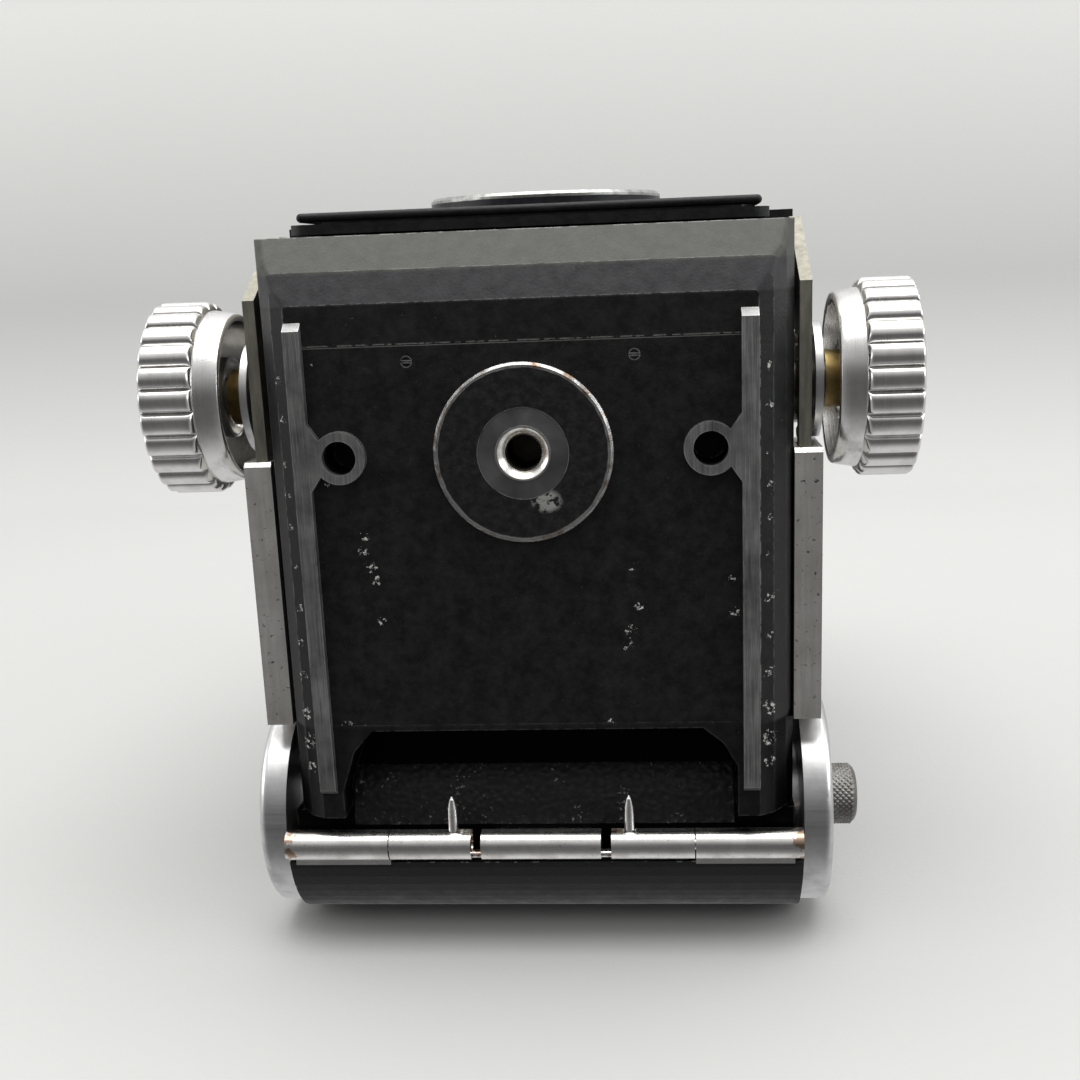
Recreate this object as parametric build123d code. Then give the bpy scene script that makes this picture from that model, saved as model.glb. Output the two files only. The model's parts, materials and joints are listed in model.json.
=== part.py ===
from build123d import *
import math
import os

# Twin lens reflex camera. Millimetres. Origin at the mouth of the tripod socket, +Z up,
# the lenses face -Y and +X is on the right of someone who looks at the lenses.

# ---- driving dimensions -------------------------------------------------------------------
BODY_HALF = 41.8          # half width of the casting
FRONT_Y = -33.3           # front face of the casting
FILM_Y = 76.0             # film plane, the rear face of the casting
TOP_Z = 140.0             # top deck
BASE_Z = 1.4              # underside of the base, above the rails' feet
TAKING_Z = 62.0           # height of the taking lens axis
VIEWING_Z = 112.0         # height of the viewing lens axis

SEAM_Y = -16.9            # front edge of the screwed base plate
BASE_REAR_Y = 60.0
BASE_FLAT = 35.8          # half width of the flat underside
BASE_PLATE = 1.0
SEAM_GAP = 0.12           # open line at the front edge of the base plate
CHIN_Y, CHIN_ROUND = -23.1, 1.6              # where the chin starts; radius of its corners
SIDE_CURVE = ((0.62, 2.7), (0.26, 5.6))      # share of the way in from the side, height
SIDE_TOP, SIDE_CHAMFER = 10.4, 2.2
NOTCH_FRONT_Y = 44.9      # finger notch in front of the hinge
NOTCH_NARROW, NOTCH_WIDE = 26.8, 32.3
NOTCH_CEILING = 10.0
PLATE_REAR_Y = 43.8       # rear edge of the screwed base plate
BAY_HALF, BAY_FRONT_Y, BAY_REAR_Y, BAY_TOP = 31.5, -15.4, 37.0, 26.0
RAIL_IN, RAIL_OUT = 33.2, 35.8
RAIL_FRONT_Y, RAIL_REAR_Y = -20.6, 55.6
BOSS_X, BOSS_R, BOSS_BORE_R, BOSS_DEPTH = 28.5, 4.1, 2.65, 8.0
DISC_R, DISC_STEP_R, BUSH_R, BUSH_TOP = 13.8, 7.1, 4.2, 12.5
SOCKET_R, SOCKET_DEPTH = 2.6, 10.0
SCREW_X, SCREW_Y, SCREW_R = 17.3, -14.3, 0.9

LIGHT_HALF, LIGHT_WALL_Y = 37.0, -14.0       # light chambers: half width, rear of the bellows' seat
TAKING_LOW, TAKING_HIGH = 28.5, 86.8
VIEWING_LOW, VIEWING_HIGH = 90.0, 137.0
BELLOWS_REAR_Y = -16.0
MIRROR_OFFSET = 63.2      # the mirror's seat lies along z = y + this
VIEWING_HALF, VIEWING_SIDE = 32.0, 38.8
GATE_HALF, GATE_LOW, GATE_HIGH = 27.5, 36.0, 88.0
GATE_FRONT_Y = 70.0
WELL_Y0, WELL_Y1 = 16.0, 74.0

SPOOL_Y, SPOOL_Z = 64.5, 21.6      # supply spool axis
TAKEUP_Y, TAKEUP_Z = 62.0, 104.5   # take-up spool axis
CHAMBER_R = 12.9
CHAMBER_WALL_R = 15.6
CHAMBER_HALF = 33.4
ROLLER_Y, ROLLER_Z, ROLLER_R = 74.2, (33.5, 92.5), 2.0
BUTTON_Y, BUTTON_Z, BUTTON_R = -24.0, 74.0, 3.0
SPOOL_HALF, SPOOL_FLANGE_R, SPOOL_CORE_R = 33.0, 12.3, 5.5
SPOOL_SOCKET_R, SPOOL_SOCKET = 2.5, 4.0
PIN_R = 2.4
RUN = 0.05                # radial running clearance

DOOR_R, DOOR_T = 19.0, 1.6
DOOR_HALF = 42.95
DOOR_FLANGE = 6.6         # how far the door's side flanges reach in from its skin
DOOR_BACK_Y = SPOOL_Y + DOOR_R
DOOR_TOP_Z = 118.0
DOOR_CORNER_R = 6.0
HINGE_Y, HINGE_Z, HINGE_R = 65.3, 2.6, 2.5
HINGE_HALF, HINGE_SPLIT = 43.1, 25.4
HINGE_PIN_R = 1.05
SLOT_IN, SLOT_OUT = 9.9, 11.6
LEVER_X, LEVER_TRAVEL = 14.6, 2.6

END_DISC_R, END_DISC_IN, END_DISC_OUT = 18.0, 43.15, 48.0

SHAFT_Y, SHAFT_Z, SHAFT_R = -8.2, 19.4, 3.0
MODULE, PINION_TEETH = 1.0, 10
PITCH_R = MODULE * PINION_TEETH / 2
RACK_PITCH = math.pi * MODULE
ARM_IN, ARM_OUT = 42.6, 44.5
ARM_BOTTOM, ARM_REAR_Y = 10.0, 44.5
RACK_LINE = SHAFT_Z - PITCH_R
HOUSING_OUT, HOUSING_FRONT_Y, HOUSING_REAR_Y = 46.2, 1.5, 46.0
HOUSING_Z0, HOUSING_Z1 = 8.4, 21.5

KNOB_R, KNOB_OUT, KNOB_RIM_IN, KNOB_SKIRT_IN = 15.8, 61.0, 52.3, 48.4
KNOB_RIDGES, RIDGE_R = 25, 1.55
BEARING_IN, BEARING_OUT, BEARING_R = 45.2, 46.4, 9.3
BEARING_SCREWS, BEARING_SCREW_R = (35, 90, 145), 7.6

STANDARD_T, STANDARD_GAP = 1.6, 0.6
STANDARD_Y = FRONT_Y - STANDARD_GAP - STANDARD_T     # front face of the standard
BOARD_T = 1.1
BOARD_Y = STANDARD_Y - BOARD_T                       # front face of the lens board
TAKING_R, VIEWING_R = 21.6, 19.5
TAKING_HOLE_R, VIEWING_HOLE_R = 19.5, 17.0
BLADES, BLADE_R = 5, 14.7
RING_PROUD = 3.6
LEVER_PIN_X, LEVER_PIN_Z, LEVER_PIN_R = 15.5, 86.5, 0.9
BAIL_Z = 70.0             # pivots of the bail that holds the lens board

LUG_X, LUG_Y, LUG_Z = 45.8, 30.0, 127.0      # eye of the strap lug
LUG_R, LUG_T, LUG_BORE_R, LUG_FOOT_R = 3.2, 1.6, 1.9, 4.2

HOOD_X, HOOD_FRONT_Y, HOOD_REAR_Y = 29.6, 17.4, 72.4
HOOD_SIDE_Y0, HOOD_SIDE_Y1 = 20.0, 71.4      # side panels, behind the folded magnifier
HOOD_T = 0.8
HOOD_LEVELS = {"left": 142.0, "right": 143.2, "rear": 144.4, "front": 147.6}
HOOD_SIDE_H, HOOD_END_H = 55.5, 53.0
HOOD_FRAME_TOP = 148.6
MAGNIFIER_UP = 42.0


# ---- shapes -------------------------------------------------------------------------------
def block(x0, x1, y0, y1, z0, z1):
    return Pos((x0 + x1) / 2, (y0 + y1) / 2, (z0 + z1) / 2) * Box(x1 - x0, y1 - y0, z1 - z0)


def rod_x(x0, x1, y, z, r):
    return Pos((x0 + x1) / 2, y, z) * Rot(0, 90, 0) * Cylinder(r, x1 - x0)


def rod_y(y0, y1, x, z, r):
    return Pos(x, (y0 + y1) / 2, z) * Rot(90, 0, 0) * Cylinder(r, y1 - y0)


def rod_z(z0, z1, x, y, r):
    return Pos(x, y, (z0 + z1) / 2) * Cylinder(r, z1 - z0)


def prism_x(points, x0, x1):
    """A closed (y, z) outline run along X."""
    wire = Polyline(*[(x0, y, z) for y, z in points], close=True)
    return extrude(make_face(wire), amount=x1 - x0, dir=(1, 0, 0))


def arc_points(y, z, r, start, end, count):
    """Points (y, z) on an arc, angles in degrees from +Y towards +Z."""
    angles = [math.radians(start + (end - start) * i / count) for i in range(count + 1)]
    return [(y + r * math.cos(a), z + r * math.sin(a)) for a in angles]


def ring_y(y0, y1, z, outer, inner, x=0.0):
    return rod_y(y0, y1, x, z, outer) - rod_y(y0 - 1, y1 + 1, x, z, inner)


def mirrored(shape):
    return mirror(shape, about=Plane.YZ)


def both_sides(shape):
    return Compound(children=[shape, mirrored(shape)])


def one(shape):
    """The single solid of a shape that is one piece."""
    return shape.solids()[0]


# ---- body ---------------------------------------------------------------------------------
def body_outline():
    lower_wall = arc_points(SPOOL_Y, SPOOL_Z, CHAMBER_WALL_R, -107, -60, 8)
    return [
        (FRONT_Y, 9.0), (-28.0, 3.6), (CHIN_Y, BASE_Z), (BASE_REAR_Y, BASE_Z),
        *lower_wall, (FILM_Y, 12.0), (FILM_Y, TOP_Z), (FRONT_Y, TOP_Z),
    ]


def shaft_bay():
    """The hollow over the base plate, around the pillars of the socket, bosses and screws."""
    bay = block(-BAY_HALF, BAY_HALF, BAY_FRONT_Y, BAY_REAR_Y, BASE_Z + BASE_PLATE, BAY_TOP)
    bay -= rod_z(0, 14, 0, 0, BUSH_R + 3.3)
    for side in (-1, 1):
        bay -= rod_z(0, BOSS_DEPTH + 2.5, side * BOSS_X, 0, BOSS_BORE_R + 2.2)
        bay -= rod_z(0, 9, side * SCREW_X, SCREW_Y, SCREW_R + 1.7)
    return bay


def side_curve(side):
    """What the rounded lower edge of one side leaves out of the square outline."""
    half_flat = BODY_HALF - BASE_FLAT
    points = [(side * (BODY_HALF + 1), 0), (side * BASE_FLAT, 0), (side * BASE_FLAT, BASE_Z)]
    points += [(side * (BODY_HALF - half_flat * share), z) for share, z in SIDE_CURVE]
    points += [(side * BODY_HALF, SIDE_TOP), (side * (BODY_HALF + 1), SIDE_TOP)]
    face = make_face(Plane.XZ * Polyline(*points, close=True))
    return Pos(0, BASE_REAR_Y + 0.5, 0) * extrude(face, amount=100, dir=(0, -1, 0))


def finger_notch():
    mouth = Polyline((-NOTCH_WIDE, 66), (-NOTCH_WIDE, 55.3), (-30.0, 48.5), (-NOTCH_NARROW, NOTCH_FRONT_Y),
                     (NOTCH_NARROW, NOTCH_FRONT_Y), (30.0, 47.5), (NOTCH_WIDE, 51.5),
                     (NOTCH_WIDE, 66), close=True)
    notch = extrude(make_face(mouth), amount=NOTCH_CEILING, dir=(0, 0, 1))
    return notch - rod_x(-50, 50, SPOOL_Y, SPOOL_Z, CHAMBER_WALL_R)


def outer_casting():
    """The casting's outside: sloped chin, rounded lower sides and chin corners."""
    casting = prism_x(body_outline(), -BODY_HALF, BODY_HALF)
    side_edges = casting.edges().filter_by(
        lambda e: e.bounding_box().max.Z < BASE_Z + 0.01 and abs(e.center().X) > BODY_HALF - 0.1)
    casting = chamfer(side_edges, length=SIDE_CHAMFER)
    casting -= side_curve(1)
    casting -= side_curve(-1)
    corners = casting.edges().filter_by(
        lambda e: e.center().Y < CHIN_Y - 0.1 and abs(e.center().X) > BASE_FLAT + 0.05
        and e.bounding_box().size.Y > 0.3 and e.bounding_box().size.X > 0.3)
    return fillet(corners, radius=CHIN_ROUND)


def light_chambers():
    """The taking chamber with its film gate, and the viewing chamber over the mirror's seat."""
    low, back = VIEWING_LOW, MIRROR_OFFSET
    viewing = [(FRONT_Y - 1, low), (low - back, low), (WELL_Y1, WELL_Y1 + back), (WELL_Y1, TOP_Z + 1),
               (WELL_Y0, TOP_Z + 1), (WELL_Y0, VIEWING_HIGH), (FRONT_Y - 1, VIEWING_HIGH)]
    side_low, side_high, side_rear = low + 2, VIEWING_HIGH - 1, WELL_Y1 - 2
    sides = [(FRONT_Y + 3, side_low), (side_low - back, side_low), (side_rear, side_rear + back),
             (side_rear, side_high), (FRONT_Y + 3, side_high)]
    return [
        block(-LIGHT_HALF, LIGHT_HALF, FRONT_Y - 1, 20, TAKING_LOW, TAKING_HIGH),
        block(-LIGHT_HALF, LIGHT_HALF, 19, GATE_FRONT_Y, GATE_LOW + 3.5, TAKING_HIGH),
        block(-GATE_HALF, GATE_HALF, 19, FILM_Y + 1, GATE_LOW, GATE_HIGH),
        prism_x(viewing, -VIEWING_HALF, VIEWING_HALF),
        prism_x(sides, -VIEWING_SIDE, VIEWING_SIDE),
        block(-LIGHT_HALF, LIGHT_HALF, FRONT_Y - 1, LIGHT_WALL_Y, VIEWING_LOW, VIEWING_HIGH),
    ]


def film_chambers():
    """The two spool chambers, open to the rear, and the rollers' pockets."""
    half = CHAMBER_HALF
    return [
        rod_x(-half, half, SPOOL_Y, SPOOL_Z, CHAMBER_R),
        block(-half, half, SPOOL_Y, 90, SPOOL_Z - CHAMBER_R, 31),
        rod_x(-half, half, TAKEUP_Y, TAKEUP_Z, CHAMBER_R),
        block(-half, half, TAKEUP_Y, 90, 96, 115),
    ] + [rod_x(-half, half, ROLLER_Y, z, ROLLER_R + 0.3) for z in ROLLER_Z]


def casting_bores():
    """Bores for the shaft, spool pins, tripod bush, bosses and button, and room for the hinge."""
    return [
        rod_x(-50, 50, SHAFT_Y, SHAFT_Z, SHAFT_R + RUN),
        rod_x(-50, 50, SPOOL_Y, SPOOL_Z, PIN_R + RUN),
        rod_x(-50, 50, TAKEUP_Y, TAKEUP_Z, PIN_R + RUN),
        rod_z(0, BUSH_TOP + 0.5, 0, 0, BUSH_R),
        rod_z(0, BOSS_DEPTH, BOSS_X, 0, BOSS_BORE_R),
        rod_z(0, BOSS_DEPTH, -BOSS_X, 0, BOSS_BORE_R),
        rod_x(LIGHT_HALF - 0.5, 50, BUTTON_Y, BUTTON_Z, BUTTON_R + RUN),
        rod_x(-50, 50, HINGE_Y, HINGE_Z, HINGE_R + 0.3),
    ]


def body_casting():
    casting = outer_casting()
    casting -= block(-BASE_FLAT, BASE_FLAT, SEAM_Y, PLATE_REAR_Y, 0, BASE_Z + BASE_PLATE)
    casting -= finger_notch()
    casting -= shaft_bay()
    for hollow in light_chambers() + film_chambers() + casting_bores():
        casting -= hollow
    return one(casting)


def base_plate():
    plate = block(-BASE_FLAT, BASE_FLAT, SEAM_Y + SEAM_GAP, PLATE_REAR_Y, BASE_Z, BASE_Z + BASE_PLATE)
    plate -= rod_z(0, 5, 0, 0, BUSH_R)
    for side in (-1, 1):
        plate -= rod_z(0, 5, side * BOSS_X, 0, BOSS_BORE_R)
        plate -= rod_z(0, 5, side * SCREW_X, SCREW_Y, SCREW_R)
    return one(plate)


def base_rails():
    outline = Polyline((RAIL_FRONT_Y + 1.2, 0), (RAIL_REAR_Y - 1.0, 0), (RAIL_REAR_Y, BASE_Z),
                       (RAIL_FRONT_Y, BASE_Z), close=True)
    rail = Pos(RAIL_IN, 0, 0) * extrude(make_face(Plane.YZ * outline), amount=RAIL_OUT - RAIL_IN,
                                        dir=(1, 0, 0))
    rail += rod_z(0, BASE_Z, BOSS_X, 0, BOSS_R)
    web = Polyline((BOSS_X + 3.0, -2.8), (RAIL_IN + 0.1, -5.4), (RAIL_IN + 0.1, 5.4),
                   (BOSS_X + 3.0, 2.8), close=True)
    rail += extrude(make_face(web), amount=BASE_Z, dir=(0, 0, 1))
    rail -= rod_z(-1, BASE_Z + 1, BOSS_X, 0, BOSS_BORE_R)
    return both_sides(one(rail))


def tripod_disc():
    disc = rod_z(0, BASE_Z, 0, 0, DISC_R) - rod_z(-1, BASE_Z + 1, 0, 0, DISC_STEP_R)
    return one(chamfer(disc.edges().filter_by(GeomType.CIRCLE).sort_by(Axis.Z)[:2].sort_by(
        SortBy.RADIUS)[-1:], length=0.4))


def tripod_ring():
    return one(rod_z(0.15, BASE_Z, 0, 0, DISC_STEP_R) - rod_z(-1, 3, 0, 0, BUSH_R))


def tripod_bush():
    return one(rod_z(0, BUSH_TOP, 0, 0, BUSH_R) - rod_z(-1, SOCKET_DEPTH, 0, 0, SOCKET_R))


def small_screw(x, y, z):
    """A slotted screw head that faces down, with its shank above it."""
    head = rod_z(z, z + 0.9, x, y, SCREW_R)
    return head - block(x - 2, x + 2, y - 0.12, y + 0.12, z - 0.1, z + 0.3)


def body_screws():
    """Two slotted screws under the base and the small screws of the sides."""
    heads = [small_screw(SCREW_X, SCREW_Y, BASE_Z)]
    for y, z in ((-29, 42.5), (20, 42.5), (70, 42.5), (-29, 138.2), (70, 138.2)):
        heads.append(rod_x(BODY_HALF, BODY_HALF + 0.5, y, z, 1.3))
    return Compound(children=heads + [mirrored(head) for head in heads])


def supply_end_disc():
    disc = rod_x(END_DISC_IN, END_DISC_OUT, SPOOL_Y, SPOOL_Z, END_DISC_R)
    rim = disc.edges().filter_by(GeomType.CIRCLE).sort_by(Axis.X)[-1:]
    disc = fillet(rim, radius=1.4)
    return disc + rod_x(BODY_HALF, END_DISC_IN + 1, SPOOL_Y, SPOOL_Z, 9)


def supply_end_discs():
    """The +X disc is bored for the pull knob's pin; the -X one carries a fixed spool pin."""
    right = supply_end_disc() - rod_x(BODY_HALF - 1, END_DISC_OUT + 1, SPOOL_Y, SPOOL_Z, PIN_R + RUN)
    pin = rod_x(-END_DISC_IN, -SPOOL_HALF + 3.4, SPOOL_Y, SPOOL_Z, PIN_R)
    left = mirrored(supply_end_disc()) + pin
    return Compound(children=[one(right), one(left)])


def rack_housing():
    shell = block(BODY_HALF, HOUSING_OUT, HOUSING_FRONT_Y, HOUSING_REAR_Y, HOUSING_Z0, HOUSING_Z1)
    low_front = shell.edges().filter_by(Axis.X).sort_by(lambda e: e.center().Y + e.center().Z)[:1]
    shell = chamfer(low_front, length=0.7)
    shell -= block(ARM_IN - 0.1, ARM_OUT + 0.1, 0, HOUSING_REAR_Y - 1.0, ARM_BOTTOM - 0.2, 15.6)
    shell -= rod_x(40, 50, SPOOL_Y, SPOOL_Z, END_DISC_R + 0.2)
    return one(shell)


def side_leather():
    sheet = block(BODY_HALF, BODY_HALF + 0.6, -30.5, 73.5, 45, 136)
    sheet -= rod_x(40, 44, TAKEUP_Y, TAKEUP_Z, 9.6)
    sheet -= rod_x(40, 44, BUTTON_Y, BUTTON_Z, BUTTON_R + 1.2)
    sheet -= rod_x(40, 44, LUG_Y, LUG_Z, LUG_FOOT_R + 0.1)
    return one(sheet)


def strap_lug():
    """A small upright eye on a round foot."""
    lug = rod_x(BODY_HALF, BODY_HALF + 1.2, LUG_Y, LUG_Z, LUG_FOOT_R)
    lug += block(BODY_HALF, LUG_X, LUG_Y - LUG_T / 2, LUG_Y + LUG_T / 2, LUG_Z - LUG_R, LUG_Z + LUG_R)
    lug += rod_y(LUG_Y - LUG_T / 2, LUG_Y + LUG_T / 2, LUG_X, LUG_Z, LUG_R)
    return one(lug - rod_y(LUG_Y - 5, LUG_Y + 5, LUG_X, LUG_Z, LUG_BORE_R))


def bearing_screw_places():
    for angle in BEARING_SCREWS:
        a = math.radians(angle)
        yield SHAFT_Y + BEARING_SCREW_R * math.cos(a), SHAFT_Z + BEARING_SCREW_R * math.sin(a)


def bearing_plate():
    plate = rod_x(BEARING_IN, BEARING_OUT, SHAFT_Y, SHAFT_Z, BEARING_R)
    for y, z in bearing_screw_places():
        plate += rod_x(BODY_HALF, BEARING_OUT - 0.4, y, z, 1.3)
    return one(plate - rod_x(40, 50, SHAFT_Y, SHAFT_Z, SHAFT_R + RUN))


def bearing_screws():
    heads = []
    for y, z in bearing_screw_places():
        head = rod_x(BEARING_OUT, BEARING_OUT + 0.8, y, z, 1.2)
        heads.append(head - block(BEARING_OUT + 0.5, 48, y - 2, y + 2, z - 0.2, z + 0.2))
    return Compound(children=heads + [mirrored(head) for head in heads])


def taking_tunnel():
    """The open way through the taking bellows and its frame."""
    return block(-31, 31, -40, -10, 34, 83.5)


def viewing_tunnel():
    return block(-29, 29, -40, -10, 94.5, 132)


def bellows_frames():
    front, rear = BELLOWS_REAR_Y, LIGHT_WALL_Y - 0.5
    taking = block(-LIGHT_HALF, LIGHT_HALF, front, rear, TAKING_LOW, TAKING_HIGH)
    viewing = block(-LIGHT_HALF, LIGHT_HALF, front, rear, VIEWING_LOW, VIEWING_HIGH)
    return Compound(children=[taking - taking_tunnel(), viewing - viewing_tunnel()])


def film_roller(z):
    return one(rod_x(-CHAMBER_HALF + 0.3, CHAMBER_HALF - 0.3, ROLLER_Y, z, ROLLER_R))


def mirror_glass():
    tilt = Pos(0, 50.3, 116.3) * Rot(45, 0, 0)
    glass = tilt * Pos(0, 0, -1) * Box(58, 60, 1.9)
    return one(glass)


def focusing_screen():
    return one(block(-30, 30, 17, 73, 138.2, 139.8))


def hood_frame():
    frame = block(-33, 33, 14.4, 75.4, TOP_Z, HOOD_FRAME_TOP)
    frame = fillet(frame.edges().filter_by(Axis.Z), radius=2.5)
    frame -= block(-30.6, 30.6, 16.4, 73.4, TOP_Z - 1, HOOD_FRAME_TOP + 1)
    return one(frame)


# ---- back door ----------------------------------------------------------------------------
def door_skin(inset):
    """Points along the door's outline, from the hinge to the top lip, moved inwards."""
    low = arc_points(SPOOL_Y, SPOOL_Z, DOOR_R - inset, -86, 0, 14)
    high = arc_points(DOOR_BACK_Y - DOOR_CORNER_R, DOOR_TOP_Z - DOOR_CORNER_R,
                      DOOR_CORNER_R - inset, 0, 90, 6)
    return low + high + [(FILM_Y + 0.3, DOOR_TOP_Z - inset)]


def back_door():
    outline = door_skin(0) + list(reversed(door_skin(DOOR_T)))
    door = prism_x(outline, -DOOR_HALF, DOOR_HALF)
    reach = DOOR_R - DOOR_FLANGE
    wall = door_skin(0)[2:] + [(FILM_Y + 0.3, 111), (SPOOL_Y + reach, 111)]
    wall += arc_points(SPOOL_Y, SPOOL_Z, reach, 0, -72, 10)
    flange = prism_x(wall, BODY_HALF + 0.15, DOOR_HALF)
    door += flange
    door += mirrored(flange)
    door -= rod_x(-50, 50, HINGE_Y, HINGE_Z, HINGE_R)
    return one(door - block(-HINGE_HALF, HINGE_HALF, HINGE_Y - 2, HINGE_Y + 3.4, 0, HINGE_Z + 1.3))


def door_leather():
    return one(block(-38.5, 38.5, DOOR_BACK_Y, DOOR_BACK_Y + 0.6, 24, 110))


def pressure_plate():
    plate = block(-31, 31, FILM_Y + 0.6, FILM_Y + 1.8, 33, 91)
    return one(fillet(plate.edges().filter_by(Axis.Y), radius=2.5))


def pressure_springs():
    def leaf(x):
        inner = DOOR_BACK_Y - DOOR_T
        points = [(inner, 44), (FILM_Y + 1.8, 57), (FILM_Y + 1.8, 67), (inner, 80), (inner, 79.4),
                  (FILM_Y + 2.1, 66.6), (FILM_Y + 2.1, 57.4), (inner, 44.6)]
        return prism_x(points, x - 4, x + 4)
    return Compound(children=[one(leaf(-14)), one(leaf(14))])


def tube_x(x0, x1, bore):
    return rod_x(x0, x1, HINGE_Y, HINGE_Z, HINGE_R) - rod_x(x0 - 1, x1 + 1, HINGE_Y, HINGE_Z, bore)


def hinge_bar():
    """The fixed middle of the hinge: a centre rod and a bored barrel each side of it."""
    centre = rod_x(-SLOT_IN, SLOT_IN, HINGE_Y, HINGE_Z, HINGE_R)
    barrel = tube_x(SLOT_OUT, HINGE_SPLIT - 0.2, HINGE_PIN_R + RUN)
    slot_end = LEVER_X + 1.1
    barrel -= block(SLOT_OUT - 0.1, slot_end, HINGE_Y - 3, HINGE_Y, HINGE_Z - 0.95, HINGE_Z + 0.95)
    join = rod_x(SLOT_IN - 0.5, SLOT_OUT + 0.5, HINGE_Y + 1.75, HINGE_Z, 0.6)
    bar = centre + barrel + mirrored(barrel) + join + mirrored(join)
    wall = SPOOL_Z - CHAMBER_WALL_R
    return one(bar + block(-8, 8, SPOOL_Y - 0.6, SPOOL_Y + 0.6, HINGE_Z + 2.0, wall))


def door_knuckles():
    knuckle = tube_x(HINGE_SPLIT, HINGE_HALF - 0.3, HINGE_PIN_R + RUN)
    knuckle += block(HINGE_SPLIT, 41.5, HINGE_Y + 1.6, HINGE_Y + 3.4, HINGE_Z - 0.5, HINGE_Z + 1.2)
    return both_sides(one(knuckle))


def hinge_pin():
    """A sliding pin with its bullet-shaped release lever, on the +X side."""
    pin = rod_x(LEVER_X - 0.9, HINGE_SPLIT + 2.2, HINGE_Y, HINGE_Z, HINGE_PIN_R)
    neck = rod_y(HINGE_Y - 5.0, HINGE_Y - 0.2, LEVER_X, HINGE_Z, 0.85)
    nose = revolve(make_face(Polyline((0, 0), (0.85, 0), (0.8, 1.6), (0.45, 3.0), (0, 3.6), close=True)),
                   axis=Axis.Y)
    return one(pin + neck + Pos(LEVER_X, HINGE_Y - 5.0, HINGE_Z) * Rot(180, 0, 0) * nose)


def door_latch():
    latch = block(-9, 9, FILM_Y + 0.05, FILM_Y + 4.5, DOOR_TOP_Z + 0.6, DOOR_TOP_Z + 7)
    for i in range(5):
        groove = DOOR_TOP_Z + 1.6 + i * 1.1
        latch -= block(-10, 10, FILM_Y + 4.0, FILM_Y + 5, groove, groove + 0.5)
    return one(latch)


# ---- focusing drive -----------------------------------------------------------------------
def rack_arm():
    root = RACK_LINE - 1.25
    outline = [(ARM_REAR_Y, ARM_BOTTOM), (-24, ARM_BOTTOM), (STANDARD_Y + STANDARD_T, 28.2),
               (STANDARD_Y + STANDARD_T, 60), (-27, 60), (-24, 38), (-15.6, 17), (-15.6, root),
               (ARM_REAR_Y, root)]
    arm = prism_x(outline, ARM_IN, ARM_OUT)
    count = 16
    for i in range(-1, count):
        y = SHAFT_Y + (i + 0.5) * RACK_PITCH
        tooth = [(y - 1.16, root - 0.1), (y - 0.71, RACK_LINE), (y - 0.38, RACK_LINE + 0.9),
                 (y + 0.38, RACK_LINE + 0.9), (y + 0.71, RACK_LINE), (y + 1.16, root - 0.1)]
        arm += prism_x(tooth, ARM_IN, ARM_OUT)
    return one(arm)


def focus_shaft():
    """The cross shaft with a pinion cut on it at each rack."""
    shaft = rod_x(-56, 56, SHAFT_Y, SHAFT_Z, SHAFT_R)
    gear = rod_x(ARM_IN + 0.1, ARM_OUT - 0.1, SHAFT_Y, SHAFT_Z, PITCH_R - 1.25)
    tooth = prism_x([(-0.95, 3.2), (-0.95, 3.8), (-0.66, PITCH_R), (-0.34, PITCH_R + 0.85),
                     (0.34, PITCH_R + 0.85), (0.66, PITCH_R), (0.95, 3.8), (0.95, 3.2)],
                    ARM_IN + 0.1, ARM_OUT - 0.1)
    for i in range(PINION_TEETH):
        gear += Pos(0, SHAFT_Y, SHAFT_Z) * Rot(180 + i * 360 / PINION_TEETH, 0, 0) * tooth
    return one(shaft + gear + mirrored(gear))


def friction_nut():
    nut = rod_x(47.3, 49.8, SHAFT_Y, SHAFT_Z, 4.6)
    return one(nut - rod_x(40, 60, SHAFT_Y, SHAFT_Z, SHAFT_R))


def focus_knob():
    knob = rod_x(KNOB_RIM_IN, KNOB_OUT, SHAFT_Y, SHAFT_Z, KNOB_R - 1.0)
    for i in range(KNOB_RIDGES):
        a = 2 * math.pi * i / KNOB_RIDGES
        y = SHAFT_Y + (KNOB_R - RIDGE_R) * math.cos(a)
        z = SHAFT_Z + (KNOB_R - RIDGE_R) * math.sin(a)
        knob += rod_x(KNOB_RIM_IN, KNOB_OUT - 0.4, y, z, RIDGE_R)
    skirt = revolve(make_face(Plane.XZ * Polyline((0, 0), (13.7, 0), (14.3, KNOB_RIM_IN - KNOB_SKIRT_IN + 0.2),
                                                  (0, KNOB_RIM_IN - KNOB_SKIRT_IN + 0.2), close=True)),
                    axis=Axis.Z)
    knob += Pos(KNOB_SKIRT_IN, SHAFT_Y, SHAFT_Z) * Rot(0, 90, 0) * skirt
    knob -= rod_x(KNOB_SKIRT_IN - 1, 56, SHAFT_Y, SHAFT_Z, 12.4) - rod_x(50, 57, SHAFT_Y, SHAFT_Z, 6.2)
    knob -= rod_x(40, 56, SHAFT_Y, SHAFT_Z, SHAFT_R)
    return one(knob)


# ---- front standard and lenses -------------------------------------------------------------
def front_standard():
    plate = block(-39, 39, STANDARD_Y, STANDARD_Y + STANDARD_T, 20, 136)
    plate = fillet(plate.edges().filter_by(Axis.Y), radius=3)
    plate += block(-ARM_OUT, ARM_OUT, STANDARD_Y, STANDARD_Y + STANDARD_T, 42, 60)
    plate -= rod_y(-40, -30, 0, TAKING_Z, TAKING_HOLE_R)
    plate -= rod_y(-40, -30, 0, VIEWING_Z, VIEWING_HOLE_R)
    for side in (-1, 1):
        plate += Pos(side * 38.4, BOARD_Y, BAIL_Z) * Box(1.0, 3.2, 3.6)
        plate += rod_x(side * 37.25 - 1.15, side * 37.25 + 1.15, BOARD_Y, BAIL_Z, 0.55)
    return one(plate)


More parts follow.
